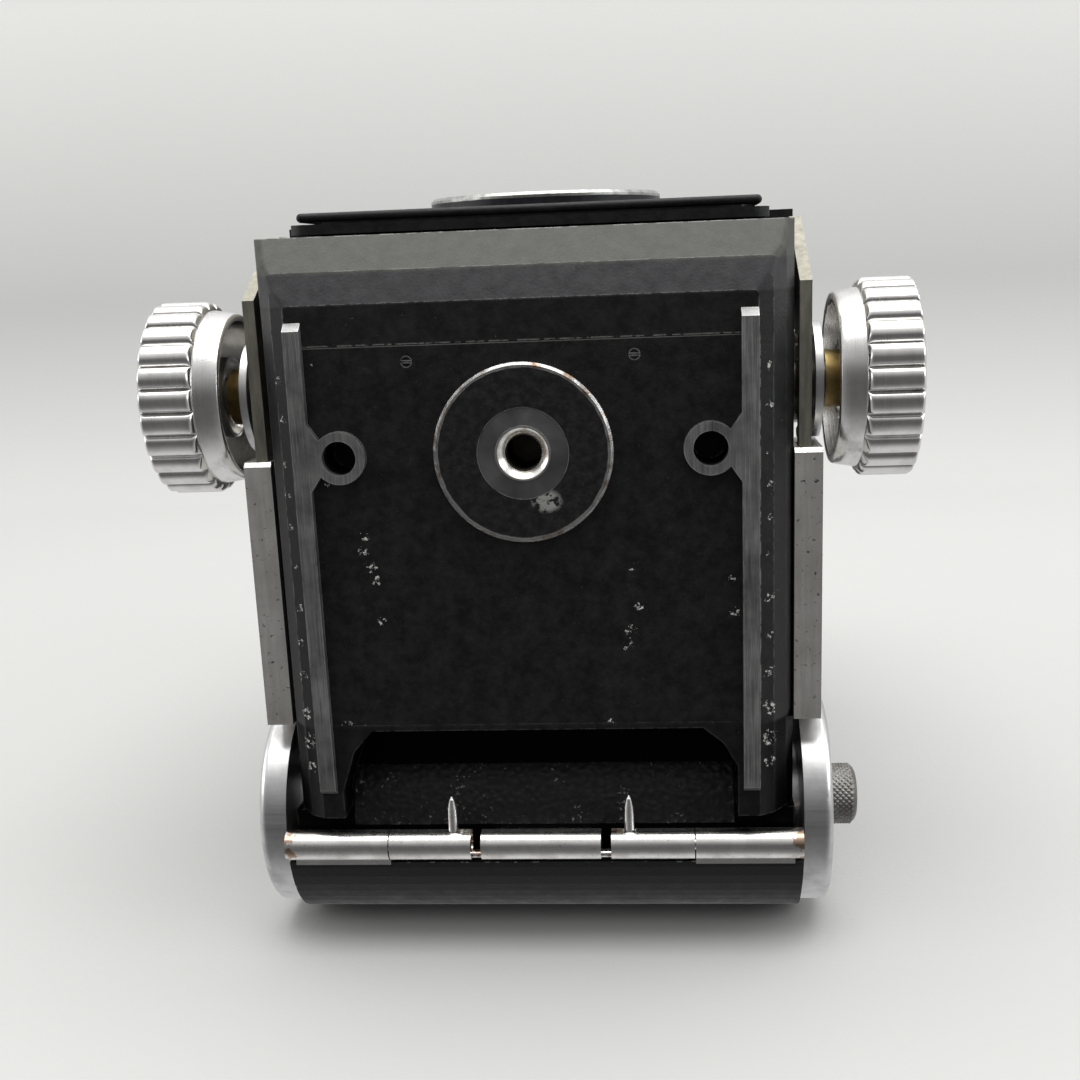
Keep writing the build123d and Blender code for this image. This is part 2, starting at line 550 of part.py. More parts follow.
def lens_board():
    board = block(-35, 35, BOARD_Y, STANDARD_Y, 24, 133)
    board = fillet(board.edges().filter_by(Axis.Y), radius=4)
    board -= rod_y(-40, -30, 0, TAKING_Z, TAKING_HOLE_R)
    board -= rod_y(-40, -30, 0, VIEWING_Z, VIEWING_HOLE_R)
    for side in (-1, 1):
        board += rod_y(BOARD_Y - 2.6, BOARD_Y, side * LEVER_PIN_X, LEVER_PIN_Z, LEVER_PIN_R)
    return one(board)


def taking_lens_ring():
    ring = ring_y(BOARD_Y - RING_PROUD, BOARD_Y - 1.3, TAKING_Z, TAKING_R, 17.2)
    front = ring.edges().filter_by(GeomType.CIRCLE).sort_by(Axis.Y)[:2]
    return one(chamfer(front, length=0.5))


def setting_ring(y0, y1, angle):
    """A thin ring with a finger tab that turns on the shutter housing."""
    ring = rod_y(y0, y1, 0, TAKING_Z, 21.2)
    tab = Pos(22.4, (y0 + y1) / 2, 0) * Box(4.4, y1 - y0, 3.2)
    ring += Pos(0, 0, TAKING_Z) * Rot(0, -angle, 0) * tab
    return one(ring - rod_y(-50, -20, 0, TAKING_Z, 19.4 + RUN))


def shutter_housing():
    return one(ring_y(BOARD_Y - 1.3, -26, TAKING_Z, 19.4, 15.0))


def lens_element(y_front, y_rear, z, r, sag):
    """A biconvex element on an axis along Y."""
    curve = (r * r + sag * sag) / (2 * sag)
    half_sag = curve - math.sqrt(curve * curve - r * r / 4)
    front = ThreePointArc((0, y_front), (r / 2, y_front + half_sag), (r, y_front + sag))
    rim = Line((r, y_front + sag), (r, y_rear - sag))
    rear = ThreePointArc((r, y_rear - sag), (r / 2, y_rear - half_sag), (0, y_rear))
    middle = Line((0, y_rear), (0, y_front))
    return Pos(0, 0, z) * one(revolve(make_face([front, rim, rear, middle]), axis=Axis.Y))


def lens_glass(z):
    front = lens_element(BOARD_Y - 2.4, BOARD_Y + 1.0, z, 14.9, 1.4)
    rear = lens_element(-25.6, -22.0, z, 12.0, 1.2)
    return Compound(children=[front, rear])


def lens_barrels():
    """The taking lens's rear barrel and the whole viewing lens barrel."""
    taking = ring_y(-26.0, -18.0, TAKING_Z, 14.8, 12.1)
    viewing = ring_y(BOARD_Y, -26.0, VIEWING_Z, 16.8, 15.0)
    viewing += ring_y(-26.0, -18.0, VIEWING_Z, 15.4, 12.1)
    return Compound(children=[one(taking), one(viewing)])


def shutter_blades():
    blades = []
    share = 360 / BLADES
    for i in range(BLADES):
        first, last = math.radians(i * share + 1), math.radians((i + 1) * share - 1)
        middle = (first + last) / 2
        fan = Polyline(*[(r * math.cos(a), r * math.sin(a)) for r, a in (
            (0.25, middle), (BLADE_R, first), (BLADE_R, middle), (BLADE_R, last))], close=True)
        blade = extrude(make_face(Plane.XZ * fan), amount=0.3, dir=(0, 1, 0))
        blades.append(Pos(0, -31.5, TAKING_Z) * one(blade))
    return Compound(children=blades)


def viewing_lens_ring():
    ring = ring_y(BOARD_Y - RING_PROUD + 0.3, BOARD_Y, VIEWING_Z, VIEWING_R, 15.2)
    front = ring.edges().filter_by(GeomType.CIRCLE).sort_by(Axis.Y)[:2]
    return one(chamfer(front, length=0.5))


def small_lever():
    x, z = LEVER_PIN_X, LEVER_PIN_Z
    arm = block(x - 1.6, x + 1.6, BOARD_Y - 2.2, BOARD_Y - 1.0, z, z + 7.5)
    arm += rod_y(BOARD_Y - 2.2, BOARD_Y - 1.0, x, z, 1.9)
    arm += rod_y(BOARD_Y - 4.2, BOARD_Y - 1.0, x, z + 6.5, 1.3)
    return one(arm - rod_y(BOARD_Y - 5, BOARD_Y + 1, x, z, LEVER_PIN_R + RUN))


def sync_socket():
    x, z = 26.0, 88.0
    socket = ring_y(BOARD_Y - 2.6, BOARD_Y, z, 2.6, 1.5, x)
    socket += rod_y(BOARD_Y - 0.6, BOARD_Y, x, z, 2.6)
    return one(socket + rod_y(BOARD_Y - 2.0, BOARD_Y, x, z, 0.5))


def lens_bail():
    x, z_low, z_high, y, r = 37.0, 21.8, BAIL_Z, BOARD_Y, 0.75
    wire = rod_x(-x, x, y, z_low, r)
    for side in (-1, 1):
        wire += rod_z(z_low, z_high - 0.6, side * x, y, r)
        wire += Pos(side * x, y, z_low) * Sphere(r)
        eye = rod_x(side * x - 0.7, side * x + 0.7, y, z_high, 1.0)
        wire += eye
        wire -= rod_x(side * x - 2, side * x + 2, y, z_high, 0.6)
    return one(wire)


def bellows():
    front = STANDARD_Y + STANDARD_T
    taking = block(-35, 35, front, BELLOWS_REAR_Y, 30, 86) - taking_tunnel()
    viewing = block(-33, 33, front, BELLOWS_REAR_Y, 91.5, 135) - viewing_tunnel()
    return Compound(children=[one(taking), one(viewing)])


# ---- film transport -------------------------------------------------------------------------
def spool(y, z):
    body = rod_x(-SPOOL_HALF, SPOOL_HALF, y, z, SPOOL_CORE_R)
    for side in (-1, 1):
        body += Pos(side * (SPOOL_HALF - 0.6), y, z) * Rot(0, 90, 0) * Cylinder(SPOOL_FLANGE_R, 1.2)
        end = side * SPOOL_HALF
        body -= Pos(end - side * SPOOL_SOCKET / 2, y, z) * Rot(0, 90, 0) * Cylinder(
            SPOOL_SOCKET_R, SPOOL_SOCKET + 0.001)
    return one(body)


def spool_knob(y, z, x_in, x_out, r):
    """A pull knob on the +X side with its spool pin."""
    knob = rod_x(x_in, x_out, y, z, r)
    knob = fillet(knob.edges().filter_by(GeomType.CIRCLE).sort_by(Axis.X)[-1:], radius=1.0)
    return one(knob + rod_x(SPOOL_HALF - 3.4, x_in + 1, y, z, PIN_R))


def film_crank():
    crank = rod_x(-50.5, -43.0, TAKEUP_Y, TAKEUP_Z, 9.0)
    crank = fillet(crank.edges().filter_by(GeomType.CIRCLE).sort_by(Axis.X)[:1], radius=1.2)
    crank += rod_x(-44, -SPOOL_HALF + 3.4, TAKEUP_Y, TAKEUP_Z, PIN_R)
    crank += block(-52.5, -50.5, TAKEUP_Y - 22, TAKEUP_Y, TAKEUP_Z - 4.5, TAKEUP_Z + 4.5)
    crank += rod_x(-52.5, -50.5, TAKEUP_Y, TAKEUP_Z, 6.5)
    crank += rod_x(-52.5, -50.5, TAKEUP_Y - 22, TAKEUP_Z, 4.5)
    return one(crank)


def crank_grip():
    grip = rod_x(-60.0, -52.6, TAKEUP_Y - 22, TAKEUP_Z, 3.6)
    return one(fillet(grip.edges().filter_by(GeomType.CIRCLE), radius=0.8))


def release_button():
    button = rod_x(39.0, 45.0, BUTTON_Y, BUTTON_Z, BUTTON_R)
    return one(fillet(button.edges().filter_by(GeomType.CIRCLE).sort_by(Axis.X)[-1:], radius=0.7))


# ---- viewing hood ---------------------------------------------------------------------------
def side_panel(side):
    level = HOOD_LEVELS["right" if side > 0 else "left"]
    panel = block(HOOD_X - HOOD_T / 2, HOOD_X + HOOD_T / 2, HOOD_SIDE_Y0, HOOD_SIDE_Y1,
                  level, level + HOOD_SIDE_H)
    panel += rod_y(HOOD_SIDE_Y0, HOOD_SIDE_Y1, HOOD_X, level, HOOD_T / 2)
    return one(panel if side > 0 else mirrored(panel))


def rear_panel():
    level = HOOD_LEVELS["rear"]
    panel = block(-28.4, 28.4, HOOD_REAR_Y - HOOD_T / 2, HOOD_REAR_Y + HOOD_T / 2, level, level + HOOD_END_H)
    return one(panel + rod_x(-28.4, 28.4, HOOD_REAR_Y, level, HOOD_T / 2))


def front_panel():
    level = HOOD_LEVELS["front"]
    panel = block(-28.4, 28.4, HOOD_FRONT_Y - HOOD_T / 2, HOOD_FRONT_Y + HOOD_T / 2, level, level + HOOD_END_H)
    panel += rod_x(-28.4, 28.4, HOOD_FRONT_Y, level, HOOD_T / 2)
    pivot = level + MAGNIFIER_UP
    for side in (-1, 1):
        x = side * 14.6
        panel += block(x - 0.6, x + 0.6, HOOD_FRONT_Y, HOOD_FRONT_Y + 2.3, pivot - 1.5, pivot + 1.5)
    return one(panel - rod_x(-16, 16, HOOD_FRONT_Y + 1.3, pivot, 0.5 + RUN))


def magnifier_frame():
    pivot = HOOD_LEVELS["front"] + MAGNIFIER_UP
    y = HOOD_FRONT_Y + 1.3
    frame = block(-12.8, 12.8, y - 0.6, y + 0.6, pivot - 26, pivot)
    frame += rod_x(-13.6, 13.6, y, pivot, 0.8)
    frame += rod_x(-15.0, 15.0, y, pivot, 0.5)
    return one(frame - rod_y(0, 40, 0, pivot - 13.5, 10.5))


def magnifier_lens():
    pivot = HOOD_LEVELS["front"] + MAGNIFIER_UP
    y = HOOD_FRONT_Y + 1.3
    return one(rod_y(y - 0.6, y + 0.6, 0, pivot - 13.5, 10.5))


# ---- output ---------------------------------------------------------------------------------
def body_parts():
    return {
        "body_casting": body_casting(),
        "base_plate": base_plate(),
        "base_rails": base_rails(),
        "tripod_disc": tripod_disc(),
        "tripod_ring": tripod_ring(),
        "tripod_bush": tripod_bush(),
        "body_screws": body_screws(),
        "supply_end_discs": supply_end_discs(),
        "rack_housings": both_sides(rack_housing()),
        "side_leathers": both_sides(side_leather()),
        "strap_lugs": both_sides(strap_lug()),
        "bearing_plates": both_sides(bearing_plate()),
        "bearing_screws": bearing_screws(),
        "bellows_frames": bellows_frames(),
        "film_rollers": Compound(children=[film_roller(z) for z in ROLLER_Z]),
        "reflex_mirror": mirror_glass(),
        "focusing_screen": focusing_screen(),
        "hood_frame": hood_frame(),
        "hinge_bar": hinge_bar(),
        "door_latch": door_latch(),
        "release_button": release_button(),
    }


def door_parts():
    pin = hinge_pin()
    return {
        "back_door": back_door(),
        "door_leather": door_leather(),
        "pressure_plate": pressure_plate(),
        "pressure_springs": pressure_springs(),
        "door_knuckles": door_knuckles(),
        "hinge_pin_right": pin,
        "hinge_pin_left": mirrored(pin),
    }


def focusing_parts():
    return {
        "focus_shaft": focus_shaft(),
        "focus_knobs": both_sides(focus_knob()),
        "friction_nuts": both_sides(friction_nut()),
    }


def front_parts():
    lever = small_lever()
    return {
        "front_standard": front_standard(),
        "rack_arms": both_sides(rack_arm()),
        "lens_board": lens_board(),
        "lens_bail": lens_bail(),
        "sync_socket": sync_socket(),
        "taking_lens_ring": taking_lens_ring(),
        "taking_lens_glass": lens_glass(TAKING_Z),
        "shutter_housing": shutter_housing(),
        "shutter_blades": shutter_blades(),
        "speed_ring": setting_ring(BOARD_Y - 0.6, BOARD_Y - 0.1, 110),
        "aperture_ring": setting_ring(BOARD_Y - 1.2, BOARD_Y - 0.7, 70),
        "cocking_lever": lever,
        "release_lever": mirrored(lever),
        "viewing_lens_ring": viewing_lens_ring(),
        "viewing_lens_glass": lens_glass(VIEWING_Z),
        "lens_barrels": lens_barrels(),
        "bellows": bellows(),
    }


def film_parts():
    return {
        "supply_spool": spool(SPOOL_Y, SPOOL_Z),
        "takeup_spool": spool(TAKEUP_Y, TAKEUP_Z),
        "supply_spool_knob": spool_knob(SPOOL_Y, SPOOL_Z, END_DISC_OUT + 0.1, 53.6, 5.3),
        "takeup_spool_knob": spool_knob(TAKEUP_Y, TAKEUP_Z, BODY_HALF + 0.2, 48.5, 7.0),
        "film_crank": film_crank(),
        "crank_grip": crank_grip(),
    }


def hood_parts():
    return {
        "hood_left_panel": side_panel(-1),
        "hood_right_panel": side_panel(1),
        "hood_rear_panel": rear_panel(),
        "hood_front_panel": front_panel(),
        "magnifier_frame": magnifier_frame(),
        "magnifier_lens": magnifier_lens(),
    }


def write(shapes):
    os.makedirs("parts", exist_ok=True)
    for name, shape in shapes.items():
        export_step(shape, f"parts/{name}.step")


write(body_parts())
write(door_parts())
write(focusing_parts())
write(front_parts())
write(film_parts())
write(hood_parts())
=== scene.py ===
import json
import math

import bmesh
import bpy
from mathutils import Matrix, Vector, noise


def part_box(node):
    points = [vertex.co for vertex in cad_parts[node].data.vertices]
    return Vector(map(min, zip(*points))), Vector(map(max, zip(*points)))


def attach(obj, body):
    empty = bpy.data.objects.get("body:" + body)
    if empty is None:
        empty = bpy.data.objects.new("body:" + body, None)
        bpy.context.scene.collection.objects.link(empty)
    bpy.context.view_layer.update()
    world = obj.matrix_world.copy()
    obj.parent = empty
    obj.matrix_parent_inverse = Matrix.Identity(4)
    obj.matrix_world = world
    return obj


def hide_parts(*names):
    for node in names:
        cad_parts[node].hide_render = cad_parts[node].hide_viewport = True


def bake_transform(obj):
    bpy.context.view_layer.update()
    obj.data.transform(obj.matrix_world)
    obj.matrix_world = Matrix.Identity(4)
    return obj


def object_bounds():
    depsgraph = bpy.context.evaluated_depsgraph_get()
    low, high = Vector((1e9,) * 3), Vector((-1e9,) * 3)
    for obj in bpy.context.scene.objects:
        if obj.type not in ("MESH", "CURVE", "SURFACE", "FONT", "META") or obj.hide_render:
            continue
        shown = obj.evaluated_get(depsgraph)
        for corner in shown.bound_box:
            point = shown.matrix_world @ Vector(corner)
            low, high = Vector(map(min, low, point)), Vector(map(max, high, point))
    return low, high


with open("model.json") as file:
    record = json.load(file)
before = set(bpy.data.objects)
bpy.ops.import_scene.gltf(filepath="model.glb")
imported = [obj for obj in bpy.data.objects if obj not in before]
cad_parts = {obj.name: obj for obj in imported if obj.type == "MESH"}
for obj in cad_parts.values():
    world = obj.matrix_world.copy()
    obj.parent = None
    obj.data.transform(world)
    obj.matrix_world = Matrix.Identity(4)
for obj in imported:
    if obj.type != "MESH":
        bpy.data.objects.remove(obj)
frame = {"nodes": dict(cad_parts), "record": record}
cad_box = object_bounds()
nodes = frame["nodes"]
joints = {j["name"]: j for j in frame["record"]["behaviour"]["joints"]}
MM = 0.001


# ---- places that the frame gives -----------------------------------------------------------
def middle(node):
    low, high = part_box(node)
    return (Vector(low) + Vector(high)) / 2


def joint_place(name):
    return Vector(joints[name]["pos_m"])


shaft = joint_place("focus_turn")
supply = joint_place("supply_spool_turn")
hinge = joint_place("door_hinge")
disc_rim = (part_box("tripod_disc")[1][0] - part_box("tripod_disc")[0][0]) / 2
base_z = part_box("base_plate")[0][2]


# ---- node helpers ---------------------------------------------------------------------------
class Surface:
    """A node material: a Principled shader and short ways to feed it."""

    def __init__(self, name, color, roughness=0.5, metallic=0.0):
        self.material = bpy.data.materials.new(name)
        self.material.use_nodes = True
        self.tree = self.material.node_tree
        self.shader = self.tree.nodes["Principled BSDF"]
        self.set("Base Color", (*color, 1.0))
        self.set("Roughness", roughness)
        self.set("Metallic", metallic)
        self.place = self.tree.nodes.new("ShaderNodeTexCoord").outputs["Object"]
        self.last_bump = None

    def set(self, socket, value):
        self.shader.inputs[socket].default_value = value

    def node(self, kind, **values):
        made = self.tree.nodes.new(kind)
        for key, value in values.items():
            setattr(made, key, value)
        return made

    def link(self, source, target):
        if isinstance(source, (int, float)):
            target.default_value = source
        elif isinstance(source, tuple):
            target.default_value = source if len(source) != 3 or target.type == "VECTOR" else (*source, 1.0)
        else:
            self.tree.links.new(source, target)

    def stretched(self, scale):
        mapping = self.node("ShaderNodeMapping")
        mapping.inputs["Scale"].default_value = scale
        self.link(self.place, mapping.inputs["Vector"])
        return mapping.outputs["Vector"]

    def noise(self, scale, detail=3.0, roughness=0.55, place=None):
        made = self.node("ShaderNodeTexNoise")
        made.inputs["Scale"].default_value = scale
        made.inputs["Detail"].default_value = detail
        made.inputs["Roughness"].default_value = roughness
        self.link(place or self.place, made.inputs["Vector"])
        return made.outputs["Fac"]

    def cells(self, scale, feature="F1", place=None):
        made = self.node("ShaderNodeTexVoronoi", feature=feature)
        made.inputs["Scale"].default_value = scale
        self.link(place or self.place, made.inputs["Vector"])
        return made.outputs["Distance"]

    def ramp(self, value, low, high, out_low=0.0, out_high=1.0):
        made = self.node("ShaderNodeMapRange", clamp=True)
        self.link(value, made.inputs["Value"])
        made.inputs["From Min"].default_value = low
        made.inputs["From Max"].default_value = high
        made.inputs["To Min"].default_value = out_low
        made.inputs["To Max"].default_value = out_high
        return made.outputs["Result"]

    def math(self, how, a, b=0.0):
        made = self.node("ShaderNodeMath", operation=how)
        self.link(a, made.inputs[0])
        self.link(b, made.inputs[1])
        return made.outputs[0]

    def distance(self, centre, scale=(1, 1, 1)):
        """Distance from a point, each axis scaled."""
        offset = self.node("ShaderNodeVectorMath", operation="SUBTRACT")
        self.link(self.place, offset.inputs[0])
        offset.inputs[1].default_value = centre
        scaled = self.node("ShaderNodeVectorMath", operation="MULTIPLY")
        self.link(offset.outputs[0], scaled.inputs[0])
        scaled.inputs[1].default_value = scale
        length = self.node("ShaderNodeVectorMath", operation="LENGTH")
        self.link(scaled.outputs[0], length.inputs[0])
        return length.outputs["Value"]

    def edges(self, radius, sharpness=(0.93, 0.995)):
        """1 on convex and concave edges within a radius, 0 on flats."""
        rounded = self.node("ShaderNodeBevel", samples=4)
        rounded.inputs["Radius"].default_value = radius
        true_normal = self.node("ShaderNodeNewGeometry").outputs["Normal"]
        dot = self.node("ShaderNodeVectorMath", operation="DOT_PRODUCT")
        self.link(rounded.outputs["Normal"], dot.inputs[0])
        self.link(true_normal, dot.inputs[1])
        return self.ramp(dot.outputs["Value"], sharpness[0], sharpness[1], 1.0, 0.0)

    def mix(self, factor, a, b):
        made = self.node("ShaderNodeMix", data_type="RGBA")
        self.link(factor, made.inputs["Factor"])
        self.link(a, made.inputs[6])
        self.link(b, made.inputs[7])
        return made.outputs[2]

    def color(self, value):
        self.link(value, self.shader.inputs["Base Color"])

    def roughness(self, value):
        self.link(value, self.shader.inputs["Roughness"])

    def metallic(self, value):
        self.link(value, self.shader.inputs["Metallic"])

    def bump(self, height, distance, strength=1.0):
        made = self.node("ShaderNodeBump")
        made.inputs["Strength"].default_value = strength
        made.inputs["Distance"].default_value = distance
        self.link(height, made.inputs["Height"])
        if self.last_bump:
            self.link(self.last_bump, made.inputs["Normal"])
        self.last_bump = made.outputs["Normal"]
        self.link(self.last_bump, self.shader.inputs["Normal"])


def chips(s, spots, grain=1350.0, level=0.53):
    """Paint chips: patches of bare metal around the given (place, radius) spots."""
    total = 0.0
    for centre, radius in spots:
        near = s.ramp(s.distance(centre), radius * 0.35, radius, 1.0, 0.0)
        total = s.math("MAXIMUM", near, total)
    crumbs = s.noise(grain, 4.0, 0.65)
    return s.ramp(s.math("MULTIPLY", crumbs, s.math("POWER", total, 0.35)), level, level + 0.04)


def wear_off(s, paint, rub, spots):
    """Paint rubbed to metal where rub is 1, and chipped to pale alloy around the spots."""
    metal = s.mix(s.noise(1400, 2.0), (0.22, 0.22, 0.215), (0.50, 0.49, 0.47))
    tone = s.mix(rub, paint, metal)
    s.metallic(s.math("MULTIPLY", rub, 0.8))
    if spots:
        flake = chips(s, spots)
        alloy = s.mix(s.ramp(s.noise(2300, 3.0), 0.35, 0.6), (0.16, 0.155, 0.145), (0.72, 0.70, 0.66))
        tone = s.mix(flake, tone, alloy)
        s.bump(s.math("SUBTRACT", 1.0, flake), 0.00012, 0.8)
    s.color(tone)


# ---- materials ------------------------------------------------------------------------------
def black_enamel(name, spots=(), wear=0.55, grain=2600.0, shade=0.0062, rub_width=0.0004, seam=None):
    """Fine-textured black enamel on alloy, rubbed through on its edges; with a seam, an even pale line is
    painted along the plate's front edge as a painted highlight.
    """
    s = Surface(name, (shade, shade, shade), 0.5)
    s.set("Specular IOR Level", 0.32)
    tone = s.noise(420, 5.0, 0.7)
    fine = s.noise(grain, 2.0)
    dark = (shade * 0.6, shade * 0.6, shade * 0.7)
    light = (shade * 2.3, shade * 2.3, shade * 2.5)
    paint = s.mix(s.ramp(tone, 0.38, 0.68), dark, light)
    dust = s.ramp(s.noise(1900, 3.0, 0.6), 0.66, 0.74, 0.0, 0.4)
    paint = s.mix(dust, paint, (0.055, 0.055, 0.058))
    rub = s.math("MULTIPLY", s.edges(rub_width), s.ramp(s.noise(750, 4.0), 1.0 - wear, 1.08 - wear))
    if seam is not None:
        split = s.node("ShaderNodeSeparateXYZ")
        s.link(s.place, split.inputs[0])
        rub = s.math("MULTIPLY", rub, s.ramp(split.outputs["Y"], 0.040, 0.042, 1.0, 0.1))
        # painted highlight: an even pale line along the plate's front edge at the seam, carried with the
        # rubbed metal
        line = s.ramp(split.outputs["Y"], seam + 0.00010, seam + 0.00018, 0.35, 0.0)
        rub = s.math("MAXIMUM", rub, line)
    wear_off(s, paint, rub, spots)
    s.roughness(s.ramp(tone, 0.3, 0.7, 0.42, 0.62))
    s.bump(fine, 0.00008, 0.6)
    s.bump(s.math("SUBTRACT", 1.0, rub), 0.00005, 0.6)
    return s.material


def worn_steel(name, base=(0.14, 0.14, 0.14), bright=(0.46, 0.46, 0.455), lines=(60, 1, 60), rough=0.42):
    """Grey steel with fine scratches along it, brighter where it is rubbed."""
    s = Surface(name, base, rough, 0.85)
    along = s.stretched(lines)
    scratches = s.noise(90, 5.0, 0.7, along)
    blotches = s.noise(160, 4.0)
    rub = s.math("MULTIPLY", s.edges(0.0003), s.ramp(s.noise(500, 3.0), 0.35, 0.55))
    tone = s.mix(s.ramp(s.math("MULTIPLY", scratches, blotches), 0.12, 0.42), base, bright)
    s.color(s.mix(rub, tone, (0.55, 0.55, 0.54)))
    s.roughness(s.ramp(scratches, 0.3, 0.7, rough - 0.1, rough + 0.12))
    s.bump(scratches, 0.00003, 0.4)
    return s.material


def turned_aluminium(name, shade=0.78, rough=0.26, axis_scale=(700, 1, 1), tint=(1, 1, 1)):
    """Bright alloy turned or brushed, with faint tool lines."""
    base = tuple(shade * t for t in tint)
    s = Surface(name, base, rough, 1.0)
    lines = s.noise(1.0, 4.0, 0.7, s.stretched(axis_scale))
    stain = s.noise(220, 4.0, 0.6)
    dull = tuple(c * 0.72 for c in base)
    s.color(s.mix(s.ramp(stain, 0.45, 0.75), base, dull))
    polish = s.ramp(lines, 0.3, 0.7, rough - 0.07, rough + 0.07)
    s.roughness(s.math("ADD", polish, s.ramp(stain, 0.5, 0.8, 0.0, 0.1)))
    s.bump(lines, 0.00002, 0.35)
    return s.material


def pitted_alloy(name):
    """Brushed grey alloy with small dark pits."""
    s = Surface(name, (0.3, 0.3, 0.3), 0.4, 0.9)
    lines = s.noise(1.0, 4.0, 0.7, s.stretched((1600, 60, 1600)))
    pits = s.ramp(s.noise(1100, 4.0, 0.65), 0.62, 0.69)
    cloud = s.noise(120, 4.0)
    tone = s.mix(s.ramp(cloud, 0.3, 0.7), (0.70, 0.68, 0.64), (0.94, 0.92, 0.88))
    edge = s.math("MULTIPLY", s.edges(0.0004), s.ramp(s.noise(400, 3.0), 0.3, 0.5))
    tone = s.mix(edge, tone, (0.82, 0.82, 0.80))
    s.color(s.mix(pits, tone, (0.06, 0.055, 0.05)))
    s.roughness(s.ramp(lines, 0.25, 0.75, 0.3, 0.5))
    s.bump(s.math("SUBTRACT", lines, pits), 0.00004, 0.5)
    return s.material


def nickel_plate(name, rust_spots=()):
    """Nickel plate, cloudy, with brown tarnish at the ends."""
    s = Surface(name, (0.66, 0.64, 0.61), 0.24, 1.0)
    lines = s.noise(1.0, 4.0, 0.7, s.stretched((40, 1500, 1500)))
    cloud = s.noise(260, 5.0, 0.65)
    tone = s.mix(s.ramp(cloud, 0.4, 0.75), (0.96, 0.95, 0.93), (0.66, 0.64, 0.60))
    if rust_spots:
        rust = chips(s, rust_spots, 600.0, 0.36)
        tone = s.mix(s.math("MULTIPLY", rust, 0.75), tone, (0.34, 0.17, 0.07))
    pits = s.ramp(s.noise(1900, 2.0), 0.70, 0.75)
    s.color(s.mix(pits, tone, (0.16, 0.13, 0.10)))
    s.roughness(s.math("ADD", s.ramp(lines, 0.3, 0.7, 0.18, 0.3), s.ramp(cloud, 0.5, 0.8, 0.0, 0.16)))
    s.bump(s.math("SUBTRACT", lines, pits), 0.00002, 0.4)
    return s.material


def leatherette(name, flecks_and_shade=False):
    """Pebbled black leatherette; old pieces carry pale dust between the pebbles, and the notch piece is
    painted darker as painted shade.
    """
    s = Surface(name, (0.012, 0.012, 0.013), 0.5)
    pebble = s.cells(1150, "SMOOTH_F1")
    crease = s.noise(2100, 3.0)
    height = s.math("SUBTRACT", 1.0, s.math("ADD", pebble, s.math("MULTIPLY", crease, 0.25)))
    tone = s.mix(s.ramp(pebble, 0.15, 0.6), (0.020, 0.020, 0.022), (0.007, 0.007, 0.008))
    if flecks_and_shade:
        # painted shade: the notch piece is painted darker, with less specular, for the shade in the finger
        # notch
        tone = s.mix(s.ramp(pebble, 0.15, 0.6), (0.010, 0.010, 0.012), (0.003, 0.003, 0.004))
        s.set("Specular IOR Level", 0.3)
        specks = s.ramp(s.noise(1500, 2.0), 0.62, 0.68)
        pale = s.math("MULTIPLY", specks, s.ramp(s.noise(240, 3.0), 0.5, 0.62))
        tone = s.mix(s.math("MULTIPLY", pale, 0.6), tone, (0.30, 0.30, 0.29))
    s.color(tone)
    s.roughness(s.ramp(pebble, 0.1, 0.7, 0.38, 0.62))
    s.bump(height, 0.0002, 0.7)
    return s.material


def bellows_cloth(name):
    s = Surface(name, (0.010, 0.010, 0.010), 0.75)
    weave = s.noise(1.0, 2.0, 0.5, s.stretched((2400, 2400, 2400)))
    s.color(s.mix(s.noise(140, 3.0), (0.007, 0.007, 0.007), (0.022, 0.021, 0.02)))
    s.set("Sheen Weight", 0.25)
    s.bump(weave, 0.00008, 0.5)
    return s.material


def brass_metal(name):
    s = Surface(name, (0.50, 0.36, 0.14), 0.32, 1.0)
    cloud = s.noise(300, 4.0)
    s.color(s.mix(s.ramp(cloud, 0.35, 0.7), (0.55, 0.41, 0.17), (0.24, 0.16, 0.07)))
    s.bump(s.noise(1.0, 3.0, 0.6, s.stretched((2600, 200, 200))), 0.00003, 0.4)
    return s.material


def coated_glass(name, tint=(0.78, 0.80, 0.95)):
    s = Surface(name, tint, 0.02)
    s.set("Transmission Weight", 1.0)
    s.set("IOR", 1.6)
    s.set("Coat Weight", 0.6)
    s.set("Coat Tint", (0.72, 0.62, 1.0, 1.0))
    smear = s.noise(90, 4.0)
    s.roughness(s.ramp(smear, 0.5, 0.8, 0.01, 0.06))
    return s.material


def ground_screen(name):
    s = Surface(name, (0.62, 0.64, 0.62), 0.5)
    s.set("Transmission Weight", 0.5)
    rings = s.node("ShaderNodeTexWave", wave_type="RINGS", rings_direction="Z")
    rings.inputs["Scale"].default_value = 700.0
    s.link(s.place, rings.inputs["Vector"])
    s.color(s.mix(s.noise(200, 3.0), (0.50, 0.52, 0.50), (0.68, 0.70, 0.68)))
    s.bump(rings.outputs["Fac"], 0.00002, 0.3)
    s.bump(s.noise(4000, 1.0), 0.00002, 0.4)
    return s.material


def silvered(name):
    s = Surface(name, (0.86, 0.87, 0.88), 0.03, 1.0)
    s.color(s.mix(s.ramp(s.noise(500, 4.0), 0.6, 0.8), (0.88, 0.89, 0.90), (0.62, 0.62, 0.60)))
    s.roughness(s.ramp(s.noise(180, 4.0), 0.4, 0.8, 0.02, 0.12))
    return s.material


def moulded_plastic(name, shade=0.015):
    s = Surface(name, (shade, shade, shade), 0.4)
    s.color(s.mix(s.noise(300, 3.0), (shade * 0.8,) * 3, (shade * 1.8,) * 3))
    s.roughness(s.ramp(s.noise(900, 3.0), 0.3, 0.7, 0.32, 0.5))
    s.bump(s.noise(2600, 2.0), 0.00004, 0.3)
    return s.material


